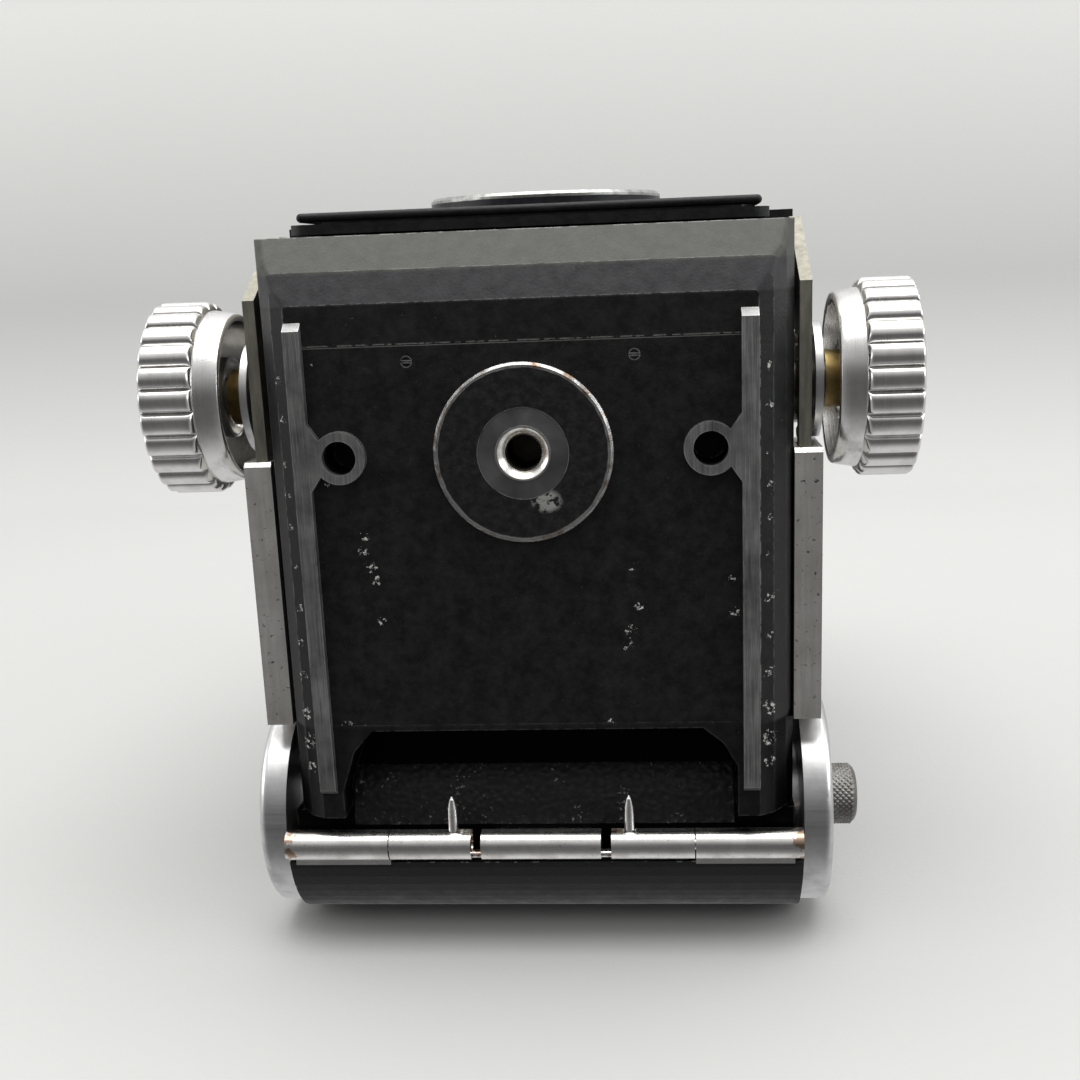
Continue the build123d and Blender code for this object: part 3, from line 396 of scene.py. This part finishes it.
def lens_rim(name):
    """A black ring whose front band is worn to bright metal."""
    s = Surface(name, (0.005, 0.005, 0.006), 0.35)
    s.set("Specular IOR Level", 0.3)
    split = s.node("ShaderNodeSeparateXYZ")
    s.link(s.place, split.inputs[0])
    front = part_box("taking_lens_ring")[0][1]
    wavy = s.math("ADD", split.outputs["Y"], s.ramp(s.noise(300, 3.0), 0.0, 1.0, -0.0001, 0.0001))
    band = s.ramp(wavy, front + 0.00085, front + 0.00098, 1.0, 0.0)
    foot = s.ramp(wavy, front + 0.0031, front + 0.0033)
    bright = s.math("MAXIMUM", band, s.math("MULTIPLY", foot, 0.8))
    tarnish = s.noise(700, 4.0, 0.6)
    metal = s.mix(s.ramp(tarnish, 0.4, 0.7), (0.50, 0.50, 0.48), (0.26, 0.26, 0.25))
    paint = s.mix(s.ramp(tarnish, 0.3, 0.7), (0.010, 0.010, 0.012), (0.022, 0.022, 0.026))
    s.color(s.mix(bright, paint, metal))
    s.metallic(s.math("MULTIPLY", bright, 0.9))
    s.roughness(s.ramp(tarnish, 0.3, 0.7, 0.25, 0.42))
    s.bump(s.noise(1.0, 3.0, 0.6, s.stretched((60, 1800, 60))), 0.00003, 0.3)
    return s.material


def disc_paint(name):
    """The tripod boss: crinkled black paint inside a rim worn to bright metal."""
    s = Surface(name, (0.014, 0.014, 0.015), 0.5)
    radius = s.distance((0, 0, 0), (1, 1, 0))
    ragged = s.math("ADD", radius, s.ramp(s.noise(420, 4.0), 0.0, 1.0, -0.00022, 0.00022))
    rim = s.ramp(ragged, disc_rim - 0.00085, disc_rim - 0.0006)
    ragged_gouge = s.ramp(s.noise(900, 3.0), 0.42, 0.5)
    from_gouge = s.distance((0.0034, 0.0074, 0), (1, 1.3, 0))
    gouge = s.math("MULTIPLY", s.ramp(from_gouge, 0.0016, 0.0026, 1, 0), ragged_gouge)
    crumbs = s.ramp(s.noise(1300, 3.0, 0.6), 0.70, 0.74)
    crinkle = s.ramp(s.noise(700, 4.0, 0.65), 0.4, 0.65)
    paint = s.mix(crinkle, (0.0035, 0.0035, 0.0038), (0.017, 0.017, 0.0175))
    paint = s.mix(s.math("MULTIPLY", crumbs, 0.5), paint, (0.10, 0.10, 0.10))
    paint = s.mix(gouge, paint, (0.30, 0.30, 0.28))
    warm = s.mix(s.ramp(s.noise(330, 3.0), 0.5, 0.65), (0.46, 0.46, 0.45), (0.24, 0.15, 0.10))
    s.color(s.mix(rim, paint, warm))
    s.metallic(s.math("MULTIPLY", rim, 0.9))
    s.roughness(s.ramp(rim, 0.0, 1.0, 0.5, 0.3))
    s.set("Specular IOR Level", 0.35)
    s.bump(s.noise(900, 4.0, 0.6), 0.0002, 0.8)
    return s.material


def facet_paint(name, spots):
    """The casting: black enamel, its sloped chin facets painted lighter and the upper one olive-grey as
    painted sheen, and the recess behind the base plate painted near black as painted shade.
    """
    s = Surface(name, (0.0125, 0.0125, 0.013), 0.5)
    s.set("Specular IOR Level", 0.32)
    tone = s.noise(420, 5.0, 0.7)
    paint = s.mix(s.ramp(tone, 0.38, 0.68), (0.0042, 0.0042, 0.0050), (0.0140, 0.0140, 0.0150))
    split = s.node("ShaderNodeSeparateXYZ")
    s.link(s.place, split.inputs[0])
    # painted sheen: the sloped chin facets are painted lighter, the upper facet olive-grey, for the light
    # they catch
    upper = s.ramp(split.outputs["Y"], -0.0279, -0.0275, 1.0, 0.0)
    chin = s.ramp(split.outputs["Y"], -0.0232, -0.0228, 1.0, 0.0)
    chin_painted_sheen = s.mix(s.ramp(tone, 0.3, 0.7), (0.024, 0.023, 0.026), (0.058, 0.056, 0.060))
    upper_painted_sheen = s.mix(s.ramp(tone, 0.3, 0.7), (0.040, 0.041, 0.034), (0.088, 0.089, 0.076))
    paint = s.mix(s.math("MULTIPLY", chin, 0.8), paint, chin_painted_sheen)
    paint = s.mix(s.math("MULTIPLY", upper, 0.85), paint, upper_painted_sheen)
    rub = s.math("MULTIPLY", s.edges(0.00045, (0.90, 0.992)), s.ramp(s.noise(650, 4.0), 0.42, 0.52))
    rub = s.math("MULTIPLY", rub, s.ramp(split.outputs["Y"], 0.040, 0.0425, 1.0, 0.12))
    crumbs = s.ramp(s.noise(1100, 3.0, 0.62), 0.70, 0.75, 0.0, 0.5)
    paint = s.mix(crumbs, paint, (0.12, 0.12, 0.115))
    # painted shade: the recess behind the base plate is painted near black, with its specular turned down
    behind_plate = s.ramp(split.outputs["Y"], 0.0440, 0.0446)
    inside = s.math("MULTIPLY", behind_plate, s.ramp(split.outputs["Z"], 0.0008, 0.0035))
    paint = s.mix(inside, paint, (0.0010, 0.0010, 0.0012))
    s.link(s.ramp(inside, 0.0, 1.0, 0.32, 0.04), s.shader.inputs["Specular IOR Level"])
    wear_off(s, paint, rub, spots)
    s.roughness(s.ramp(tone, 0.2, 0.8, 0.42, 0.6))
    s.bump(s.noise(2400, 2.0), 0.00007, 0.6)
    s.bump(s.math("SUBTRACT", 1.0, rub), 0.00005, 0.6)
    return s.material


def worn_rack(name):
    s = Surface(name, (0.17, 0.16, 0.125), 0.4, 0.8)
    grain = s.noise(1.0, 4.0, 0.7, s.stretched((900, 120, 900)))
    s.color(s.mix(s.ramp(grain, 0.3, 0.7), (0.24, 0.23, 0.19), (0.44, 0.42, 0.35)))
    s.roughness(s.ramp(grain, 0.3, 0.7, 0.34, 0.5))
    s.bump(grain, 0.00003, 0.4)
    return s.material


base_chips = [(Vector((x * MM, y * MM, base_z)), r * MM) for x, y, r in (
    (-31.5, 48.0, 3.6), (-28.6, 45.6, 3.4), (-30.5, 44.0, 2.2), (30.6, 46.0, 3.2), (32.4, 50.5, 2.6),
    (-25.5, 12.6, 1.5), (-26.3, 15.0, 1.9), (-25.0, 17.5, 1.9), (-24.2, 19.6, 1.5), (-23.9, 26.2, 1.5),
    (15.6, 28.6, 2.0), (15.0, 31.0, 1.7), (17.0, 24.8, 1.5), (16.2, 18.4, 1.2), (31.6, 20.6, 1.5),
    (32.0, 25.8, 1.7), (-31.6, -14.4, 1.0), (12.0, 43.9, 1.2), (-30.2, -3.0, 1.3), (-31.0, 4.2, 1.0))]
side_chips = [(Vector((side * 37.6 * MM, y * MM, 2.2 * MM)), r * MM) for side in (-1, 1) for y, r in (
    (-12.0, 1.5), (-6.0, 1.8), (1.0, 1.3), (6.0, 1.9), (11.0, 1.2), (17.0, 1.5), (24.0, 1.8), (30.0, 1.4),
    (36.0, 2.2), (42.0, 2.6), (47.0, 2.8), (51.0, 2.0))]
materials = {
    "casting": facet_paint("casting_enamel", side_chips),
    "base": black_enamel("base_enamel", base_chips, 0.35, shade=0.0050, seam=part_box("base_plate")[0][1]),
    "enamel": black_enamel("black_enamel", (), 0.42),
    "lens_black": black_enamel("lens_black", (), 0.28, 1800.0, 0.004, 0.0002),
    "lens_rim": lens_rim("lens_rim"),
    "rail": worn_steel("rail_steel"),
    "disc": disc_paint("tripod_disc_paint"),
    "ring": worn_steel("grey_ring", (0.10, 0.10, 0.102), (0.19, 0.19, 0.19), (1, 1, 1), 0.5),
    "screw": worn_steel("screw_steel", (0.009, 0.009, 0.010), (0.026, 0.026, 0.026), (1, 1, 1), 0.45),
    "nickel": nickel_plate("nickel_plate", [
        (Vector((0.043, hinge.y, hinge.z)), 0.004), (Vector((-0.043, hinge.y, hinge.z)), 0.004),
        (Vector((0.0107, hinge.y, hinge.z)), 0.003), (Vector((-0.0107, hinge.y, hinge.z)), 0.003)]),
    "knob": turned_aluminium("knob_aluminium", 0.88, 0.22, (2200, 1, 1), (1.0, 0.985, 0.965)),
    "disc_alloy": turned_aluminium("end_disc_alloy", 0.70, 0.34, (1, 900, 900)),
    "housing": pitted_alloy("housing_alloy"),
    "rack": worn_rack("rack_steel"),
    "leather": leatherette("leatherette"),
    "notch_leather": leatherette("shaded_old_leatherette", True),
    "cloth": bellows_cloth("bellows_cloth"),
    "brass": brass_metal("turned_brass"),
    "glass": coated_glass("coated_glass"),
    "screen": ground_screen("ground_screen"),
    "mirror": silvered("silvered_glass"),
    "plastic": moulded_plastic("moulded_plastic"),
    "knurl": worn_steel("knurled_steel", (0.10, 0.098, 0.09), (0.30, 0.29, 0.27), (1, 1, 1), 0.38),
}

finish_of = {
    "casting": ["body_casting"],
    "base": ["base_plate"],
    "lens_rim": ["taking_lens_ring"],
    "lens_black": ["front_standard", "lens_board", "lens_bail", "shutter_housing", "lens_barrels",
                   "bellows_frames"],
    "enamel": ["hood_frame", "back_door", "hood_left_panel", "hood_right_panel", "hood_rear_panel",
               "hood_front_panel", "magnifier_frame", "pressure_plate"],
    "rail": ["base_rails"],
    "disc": ["tripod_disc"],
    "ring": ["tripod_ring"],
    "screw": ["body_screws", "bearing_screws", "shutter_blades"],
    "nickel": ["tripod_bush", "hinge_bar", "door_knuckles", "hinge_pin_left", "hinge_pin_right", "strap_lugs",
               "door_latch", "cocking_lever", "release_lever", "sync_socket", "release_button",
               "pressure_springs"],
    "knob": ["focus_knobs", "viewing_lens_ring", "film_crank", "film_rollers"],
    "disc_alloy": ["supply_end_discs", "speed_ring", "aperture_ring", "takeup_spool_knob", "bearing_plates"],
    "housing": ["rack_housings"],
    "rack": ["rack_arms", "focus_shaft"],
    "leather": ["side_leathers", "door_leather"],
    "cloth": ["bellows"],
    "brass": ["friction_nuts"],
    "glass": ["taking_lens_glass", "viewing_lens_glass", "magnifier_lens"],
    "screen": ["focusing_screen"],
    "mirror": ["reflex_mirror"],
    "plastic": ["supply_spool", "takeup_spool", "crank_grip"],
    "knurl": ["supply_spool_knob"],
}


def dress_cad_nodes():
    """Gives each CAD node its finish, and a small edge rounding."""
    for finish, names in finish_of.items():
        for name in names:
            piece = nodes[name]
            piece.data.materials.clear()
            piece.data.materials.append(materials[finish])
            low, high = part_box(name)
            size = min(h - l for h, l in zip(high, low))
            rounding = piece.modifiers.new("edge_rounding", "BEVEL")
            rounding.width = min(0.00022, size * 0.12)
            rounding.segments = 2
            rounding.limit_method = "ANGLE"
            rounding.angle_limit = math.radians(40)
            rounding.harden_normals = False


dress_cad_nodes()


# ---- mesh helpers -----------------------------------------------------------------------------
def piece_from(name, mesh, finish, body, stands_for=()):
    made = bpy.data.objects.new(name, mesh)
    bpy.context.scene.collection.objects.link(made)
    mesh.materials.append(materials[finish])
    if body:
        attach(made, body)
    if stands_for:
        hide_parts(*stands_for)
    return made


def grid_mesh(name, rows, close_columns=False, close_rows=False, smooth=True):
    """A mesh from rows of points; each row has the same count."""
    mesh = bpy.data.meshes.new(name)
    count = len(rows[0])
    verts = [p for row in rows for p in row]
    faces = []
    for i in range(len(rows) if close_rows else len(rows) - 1):
        j = (i + 1) % len(rows)
        for k in range(count if close_columns else count - 1):
            m = (k + 1) % count
            faces.append((i * count + k, i * count + m, j * count + m, j * count + k))
    mesh.from_pydata(verts, [], faces)
    mesh.update()
    for polygon in mesh.polygons:
        polygon.use_smooth = smooth
    return mesh


def outward(mesh):
    bm = bmesh.new()
    bm.from_mesh(mesh)
    bmesh.ops.recalc_face_normals(bm, faces=bm.faces)
    bm.to_mesh(mesh)
    bm.free()
    return mesh


def spun_x(name, profile, centre, count, radius_at=None, turn=0.0):
    """A closed ring profile of (x, r) spun about an axis along X through centre."""
    rows = []
    for x, r in profile:
        row = []
        for k in range(count):
            a = turn + 2 * math.pi * k / count
            rr = radius_at(x, r, a) if radius_at else r
            row.append((x, centre.y + rr * math.cos(a), centre.z + rr * math.sin(a)))
        rows.append(row)
    return outward(grid_mesh(name, rows, close_columns=True, close_rows=True))


# ---- focusing knobs ------------------------------------------------------------------------------
RIDGES = 25
RIDGE_DEPTH = 1.25 * MM
RIM_WIDTH, KNOB_WIDTH = 8.7 * MM, 12.6 * MM
RIM_STEPS = 34
POINTS_PER_RIDGE = 16


def ridge_height(angle, x_from_in, x_from_out):
    """0 in a groove, 1 on a ridge; ridges end in half rounds at the inner side."""
    phase = (angle * RIDGES / (2 * math.pi)) % 1.0 - 0.5
    crown = math.sqrt(max(0.0, 1.0 - abs(phase * 2.0) ** 2.3))
    inner = min(1.0, max(0.0, x_from_in / (1.1 * MM)))
    outer = min(1.0, max(0.0, x_from_out / (0.6 * MM)))
    ends = math.sqrt(1.0 - (1.0 - inner) ** 2) * math.sqrt(1.0 - (1.0 - outer) ** 2)
    return crown * ends


def offset_from(place, points):
    """(x, r) points from a list in millimetres, with x counted from place."""
    return [(place + x * MM, r * MM) for x, r in points]


def focus_knob(side):
    low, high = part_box("focus_knobs")
    outer = high[0]
    radius = (high[2] - low[2]) / 2
    rim_in = outer - RIM_WIDTH
    skirt_in = outer - KNOB_WIDTH
    groove = radius - RIDGE_DEPTH
    profile = offset_from(skirt_in, [(0.15, 12.5), (0, 13.0), (0, 13.45), (0.25, 13.7), (1.8, 14.0)])
    profile += offset_from(rim_in, [(-0.35, 14.25), (0, 14.3)])
    profile.append((rim_in + 0.02 * MM, groove - 0.05 * MM))
    for i in range(RIM_STEPS + 1):
        t = (1 - math.cos(math.pi * i / RIM_STEPS)) / 2
        profile.append((rim_in + 0.05 * MM + t * (outer - rim_in - 0.1 * MM), groove))
    profile.append((outer, groove - 0.5 * MM))
    profile += offset_from(outer, [(0, 12.4), (-0.5, 12.1), (-0.5, 6.4), (-0.2, 6.0), (-0.2, 3.2)])
    profile += offset_from(outer, [(-0.9, 2.8), (-0.9, 0.05), (-4.0, 0.05), (-4.0, 6.0)])
    profile += offset_from(skirt_in, [(1.6, 6.0), (1.4, 6.2), (1.6, 6.6)])
    profile += offset_from(outer, [(-5.2, 6.8), (-5.2, 12.2)])

    def radius_at(x, r, a):
        if abs(r - groove) > 1e-9:
            return r
        return r + RIDGE_DEPTH * ridge_height(a, x - rim_in, outer - x)

    mesh = spun_x(f"focus_knob_{side}", profile, shaft, RIDGES * POINTS_PER_RIDGE, radius_at)
    if side == "left":
        mesh.transform(Matrix.Scale(-1, 4, (1, 0, 0)))
        outward(mesh)
    return mesh


def make_knobs():
    for side in ("left", "right"):
        knob = piece_from(f"focus_knob_{side}", focus_knob(side), "knob", "focus_drive", ["focus_knobs"])
        keep = knob.modifiers.new("crisp_edges", "EDGE_SPLIT")
        keep.split_angle = math.radians(50)


make_knobs()


# ---- tripod bush ----------------------------------------------------------------------------------
THREAD_PITCH = 1.27 * MM


def bush_nickel():
    """Bright nickel at the mouth, darker and rougher down the thread."""
    s = Surface("bush_nickel", (0.8, 0.79, 0.76), 0.2, 1.0)
    split = s.node("ShaderNodeSeparateXYZ")
    s.link(s.place, split.inputs[0])
    deep = s.ramp(split.outputs["Z"], 0.0010, 0.0024)
    cloud = s.noise(500, 4.0, 0.6)
    mouth = s.mix(s.ramp(cloud, 0.42, 0.7), (0.93, 0.92, 0.89), (0.50, 0.44, 0.36))
    s.color(s.mix(deep, mouth, (0.075, 0.068, 0.055)))
    s.roughness(s.math("ADD", s.ramp(cloud, 0.3, 0.7, 0.14, 0.3), s.math("MULTIPLY", deep, 0.25)))
    return s.material


def make_tripod_bush():
    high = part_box("tripod_bush")[1]
    outer, top = high[0], high[2]
    bore = bore_of("tripod_socket")
    profile = [(0.0, outer), (0.0, outer - 0.25 * MM), (0.15 * MM, outer - 0.5 * MM)]
    profile.append((1.15 * MM, bore + 0.25 * MM))
    z = 1.3 * MM
    while z < 9.4 * MM:
        profile += [(z, bore + 0.3 * MM), (z + 0.45 * THREAD_PITCH, bore), (z + 0.55 * THREAD_PITCH, bore)]
        z += THREAD_PITCH
    profile += [(10.0 * MM, bore), (10.0 * MM, 0.02 * MM), (top, 0.02 * MM), (top, outer)]
    count = 96
    rows = []
    for z, r in profile:
        ring = [2 * math.pi * k / count for k in range(count)]
        rows.append([(r * math.cos(a), r * math.sin(a), z) for a in ring])
    mesh = outward(grid_mesh("threaded_bush", rows, close_columns=True, close_rows=True))
    materials["bush"] = bush_nickel()
    bush = piece_from("threaded_bush", mesh, "bush", "camera_body", ["tripod_bush"])
    keep = bush.modifiers.new("crisp_edges", "EDGE_SPLIT")
    keep.split_angle = math.radians(30)


def bore_of(mount_name):
    mount = next(m for m in frame["record"]["mounts"] if m["name"] == mount_name)
    return mount["dims"]["r_mm"] * MM


make_tripod_bush()


# ---- knurled pull knob ----------------------------------------------------------------------------
KNURL_DEPTH = 0.28 * MM
KNURL_TURNS = 34
KNURL_STEPS = 30


def make_pull_knob():
    """A knob with a diamond knurl: two families of grooves crossing on its rim."""
    low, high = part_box("supply_spool_knob")
    outer, radius = high[0], (high[2] - low[2]) / 2
    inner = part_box("supply_end_discs")[1][0] + 0.1 * MM

    def radius_at(x, r, a):
        if abs(r - radius) > 1e-9:
            return r
        along = (x - inner) / (2 * math.pi * radius / KNURL_TURNS)
        u = (a * KNURL_TURNS / (2 * math.pi) + along) % 1.0
        v = (a * KNURL_TURNS / (2 * math.pi) - along) % 1.0
        return r - KNURL_DEPTH * (1 - min(abs(u - 0.5), abs(v - 0.5)) * 2) ** 2

    profile = [(inner, 2.4 * MM), (inner, radius - 0.7 * MM), (inner + 0.25 * MM, radius - 0.35 * MM)]
    for i in range(KNURL_STEPS + 1):
        profile.append((inner + 0.35 * MM + i / KNURL_STEPS * (outer - inner - 1.3 * MM), radius))
    profile += [(outer - 0.7 * MM, radius - 0.35 * MM), (outer - 0.3 * MM, radius - 0.7 * MM),
                (outer, radius - 1.3 * MM), (outer, 1.6 * MM), (outer - 0.4 * MM, 1.2 * MM),
                (outer - 0.4 * MM, 0.03 * MM), (low[0], 0.03 * MM), (low[0], 2.4 * MM)]
    mesh = spun_x("supply_pull_knob", profile, supply, KNURL_TURNS * 8, radius_at)
    piece_from("supply_pull_knob", mesh, "knurl", "supply_spool_knob", ["supply_spool_knob"])


make_pull_knob()


# ---- bellows ------------------------------------------------------------------------------------
PLEATS, PLEAT_DEPTH = 9, 3.2 * MM
CLOTH_THICKNESS = 0.5 * MM
CLOTH_CORNER = 2.2 * MM
TAKING_TOP, VIEWING_FOOT = 86.0 * MM, 91.5 * MM


def bellows_tube(name, low, high):
    """A pleated tube along Y between two corners, its folds pulled in at the valleys."""
    rows = []
    steps = PLEATS * 2

    def ring(y, shrink):
        x0, x1 = low[0] + shrink, high[0] - shrink
        z0, z1 = low[2] + shrink, high[2] - shrink
        c = CLOTH_CORNER
        return [(x0 + c, y, z0), ((x0 + x1) / 2, y, z0), (x1 - c, y, z0), (x1, y, z0 + c),
                (x1, y, (z0 + z1) / 2), (x1, y, z1 - c), (x1 - c, y, z1), ((x0 + x1) / 2, y, z1),
                (x0 + c, y, z1), (x0, y, z1 - c), (x0, y, (z0 + z1) / 2), (x0, y, z0 + c)]

    for i in range(steps + 1):
        y = low[1] + (high[1] - low[1]) * i / steps
        rows.append(ring(y, 0.0 if i % 2 else PLEAT_DEPTH))
    for i in range(steps, -1, -1):
        y = low[1] + (high[1] - low[1]) * i / steps
        rows.append(ring(y, CLOTH_THICKNESS if i % 2 else PLEAT_DEPTH + CLOTH_THICKNESS))
    return outward(grid_mesh(name, rows, close_columns=True, close_rows=True, smooth=False))


def make_bellows():
    low, high = (Vector(c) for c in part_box("bellows"))
    gap = 0.15 * MM
    front, rear = low.y + gap, high.y - gap
    taking = ((low.x, front, low.z), (high.x, rear, TAKING_TOP))
    viewing = ((low.x + 2 * MM, front, VIEWING_FOOT), (high.x - 2 * MM, rear, high.z))
    for name, (a, b) in (("taking_bellows", taking), ("viewing_bellows", viewing)):
        mesh = bellows_tube(name, a, b)
        tube = piece_from(name, mesh, "cloth", None, ["bellows"])
        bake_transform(tube)


make_bellows()


# ---- leatherette in the finger notch ------------------------------------------------------------
CHAMBER_WALL = 15.65 * MM
LEATHER_HALF = 31.9 * MM
LEATHER_FROM, LEATHER_TO = -142, -95         # degrees round the supply spool, from +Y
LEATHER_COLUMNS, LEATHER_ROWS = 260, 52


def make_notch_leather():
    """A curved sheet of leatherette on the chamber wall behind the release levers."""
    rows = []
    for i in range(LEATHER_ROWS + 1):
        a = math.radians(LEATHER_FROM + (LEATHER_TO - LEATHER_FROM) * i / LEATHER_ROWS)
        row = []
        for k in range(LEATHER_COLUMNS + 1):
            x = -LEATHER_HALF + 2 * LEATHER_HALF * k / LEATHER_COLUMNS
            grain = noise.noise(Vector((x * 1300, a * 1300 * CHAMBER_WALL, 3.0)))
            lump = noise.noise(Vector((x * 620, a * 620 * CHAMBER_WALL, 9.0)))
            r = CHAMBER_WALL + 0.10 * MM * (grain + 0.6 * lump + 1.0)
            row.append((x, supply.y + r * math.cos(a), supply.z + r * math.sin(a)))
        rows.append(row)
    mesh = grid_mesh("notch_leather", rows)
    piece_from("notch_leather", mesh, "notch_leather", "camera_body", ())


make_notch_leather()


# ---- stage, lights and camera --------------------------------------------------------------------
FLOOR_GLOW, WALL_GLOW = 0.0, 0.35
STAGE_GAP = 0.4 * MM
STAGE_HALF_WIDTH, STAGE_FOOT, STAGE_TURN = 1.6, -0.5, 0.44
STAGE_BEND, STAGE_REACH = 0.10, 0.36
BEND_STEPS = 16


def pale_surface():
    s = Surface("pale_surface", (0.78, 0.79, 0.78), 0.85)
    s.set("Specular IOR Level", 0.1)
    tone = s.noise(2.2, 3.0)
    weave = s.noise(1.0, 2.0, 0.5, s.stretched((900, 900, 900)))
    s.color(s.mix(tone, (0.495, 0.495, 0.487), (0.54, 0.54, 0.53)))
    s.bump(weave, 0.0002, 0.25)
    split = s.node("ShaderNodeSeparateXYZ")
    s.link(s.place, split.inputs[0])
    s.set("Emission Color", (1.0, 1.0, 0.965, 1.0))
    s.link(s.ramp(split.outputs["Y"], cad_box[1].y, cad_box[1].y - 0.25, FLOOR_GLOW, WALL_GLOW),
           s.shader.inputs["Emission Strength"])
    clear = s.node("ShaderNodeBsdfTransparent")
    either = s.node("ShaderNodeMixShader")
    output = s.tree.nodes["Material Output"]
    s.link(s.node("ShaderNodeNewGeometry").outputs["Backfacing"], either.inputs["Fac"])
    s.link(s.shader.outputs[0], either.inputs[1])
    s.link(clear.outputs[0], either.inputs[2])
    s.link(either.outputs[0], output.inputs["Surface"])
    return s.material


def make_stage():
    """The pale surface that the camera's back lies on, curving up far behind it."""
    rest = cad_box[1].y + STAGE_GAP
    line = [(rest, STAGE_FOOT), (rest, STAGE_TURN)]
    for i in range(1, BEND_STEPS + 1):
        a = math.radians(90 * i / BEND_STEPS)
        line.append((rest - STAGE_BEND * (1 - math.cos(a)), STAGE_TURN + STAGE_BEND * math.sin(a)))
    line.append((rest - STAGE_REACH, STAGE_TURN + STAGE_BEND))
    rows = [[(-STAGE_HALF_WIDTH, y, z), (STAGE_HALF_WIDTH, y, z)] for y, z in line]
    mesh = grid_mesh("pale_stage", rows)
    mesh.materials.append(pale_surface())
    stage = bpy.data.objects.new("pale_stage", mesh)
    bpy.context.scene.collection.objects.link(stage)
    if mesh.polygons[0].normal.y > 0:
        mesh.flip_normals()
    for name in ("shadow", "diffuse", "glossy", "transmission", "volume_scatter"):
        setattr(stage, f"visible_{name}", False)


def soft_light(name, place, target, size, power, color=(1, 1, 1)):
    data = bpy.data.lights.new(name, "AREA")
    data.shape = "RECTANGLE"
    data.size, data.size_y = size
    data.energy = power
    data.color = color
    light = bpy.data.objects.new(name, data)
    light.location = place
    light.rotation_mode = "QUATERNION"
    light.rotation_quaternion = (Vector(target) - Vector(place)).to_track_quat("-Z", "Y")
    bpy.context.scene.collection.objects.link(light)


def make_lights():
    centre = middle("body_casting")
    soft_light("ceiling", (0.05, -1.0, 0.0), centre, (1.2, 1.0), 11.0, (1.0, 0.995, 0.98))
    soft_light("right_window", (0.9, -0.35, -0.15), centre, (0.4, 0.8), 3.0, (0.97, 0.99, 1.0))
    soft_light("left_wall", (-0.9, -0.25, -0.10), centre, (0.4, 0.8), 2.0)
    make_world()


def make_world():
    """A pale room: brightest above the lying camera, dim on the viewer's side."""
    world = bpy.data.worlds.new("studio_world")
    world.use_nodes = True
    tree = world.node_tree

    def shade_of(axis, start, end, low, high):
        made = tree.nodes.new("ShaderNodeMapRange")
        made.interpolation_type = "SMOOTHSTEP"
        tree.links.new(split.outputs[axis], made.inputs["Value"])
        for socket, value in zip(("From Min", "From Max", "To Min", "To Max"), (start, end, low, high)):
            made.inputs[socket].default_value = value
        return made.outputs["Result"]

    place = tree.nodes.new("ShaderNodeTexCoord")
    split = tree.nodes.new("ShaderNodeSeparateXYZ")
    tree.links.new(place.outputs["Generated"], split.inputs[0])
    total = tree.nodes.new("ShaderNodeMath")
    total.operation = "ADD"
    tree.links.new(shade_of("Z", -0.97, 0.0, 0.10, 0.6), total.inputs[0])
    tree.links.new(shade_of("Y", -0.1, -0.9, 0.0, 0.5), total.inputs[1])
    tint = tree.nodes.new("ShaderNodeCombineColor")
    for channel in range(3):
        tree.links.new(total.outputs[0], tint.inputs[channel])
    tree.links.new(tint.outputs[0], tree.nodes["Background"].inputs["Color"])
    tree.nodes["Background"].inputs["Strength"].default_value = 1.0
    bpy.context.scene.world = world


CAMERA_PLACE = (0.02134, -0.02826, -0.20349)
CAMERA_TURN = (0.24239, 0.07747, -0.02903)      # axis times angle


def make_camera():
    """Below the base and a little in front of the lenses, turned as the photograph is."""
    data = bpy.data.cameras.new("view_camera")
    data.sensor_width = 36.0
    data.lens = 45.0
    data.shift_x = -0.0163
    data.shift_y = 0.049
    data.clip_start, data.clip_end = 0.01, 20.0
    camera = bpy.data.objects.new("view_camera", data)
    camera.location = CAMERA_PLACE
    turn = Vector(CAMERA_TURN)
    to_view = Matrix.Rotation(turn.length, 3, turn.normalized())
    flip = Matrix(((1, 0, 0), (0, -1, 0), (0, 0, -1)))
    camera.rotation_mode = "QUATERNION"
    camera.rotation_quaternion = (to_view.transposed() @ flip).to_quaternion()
    bpy.context.scene.collection.objects.link(camera)
    bpy.context.scene.camera = camera
    bpy.context.scene.view_settings.view_transform = "Standard"


make_stage()
make_lights()
make_camera()
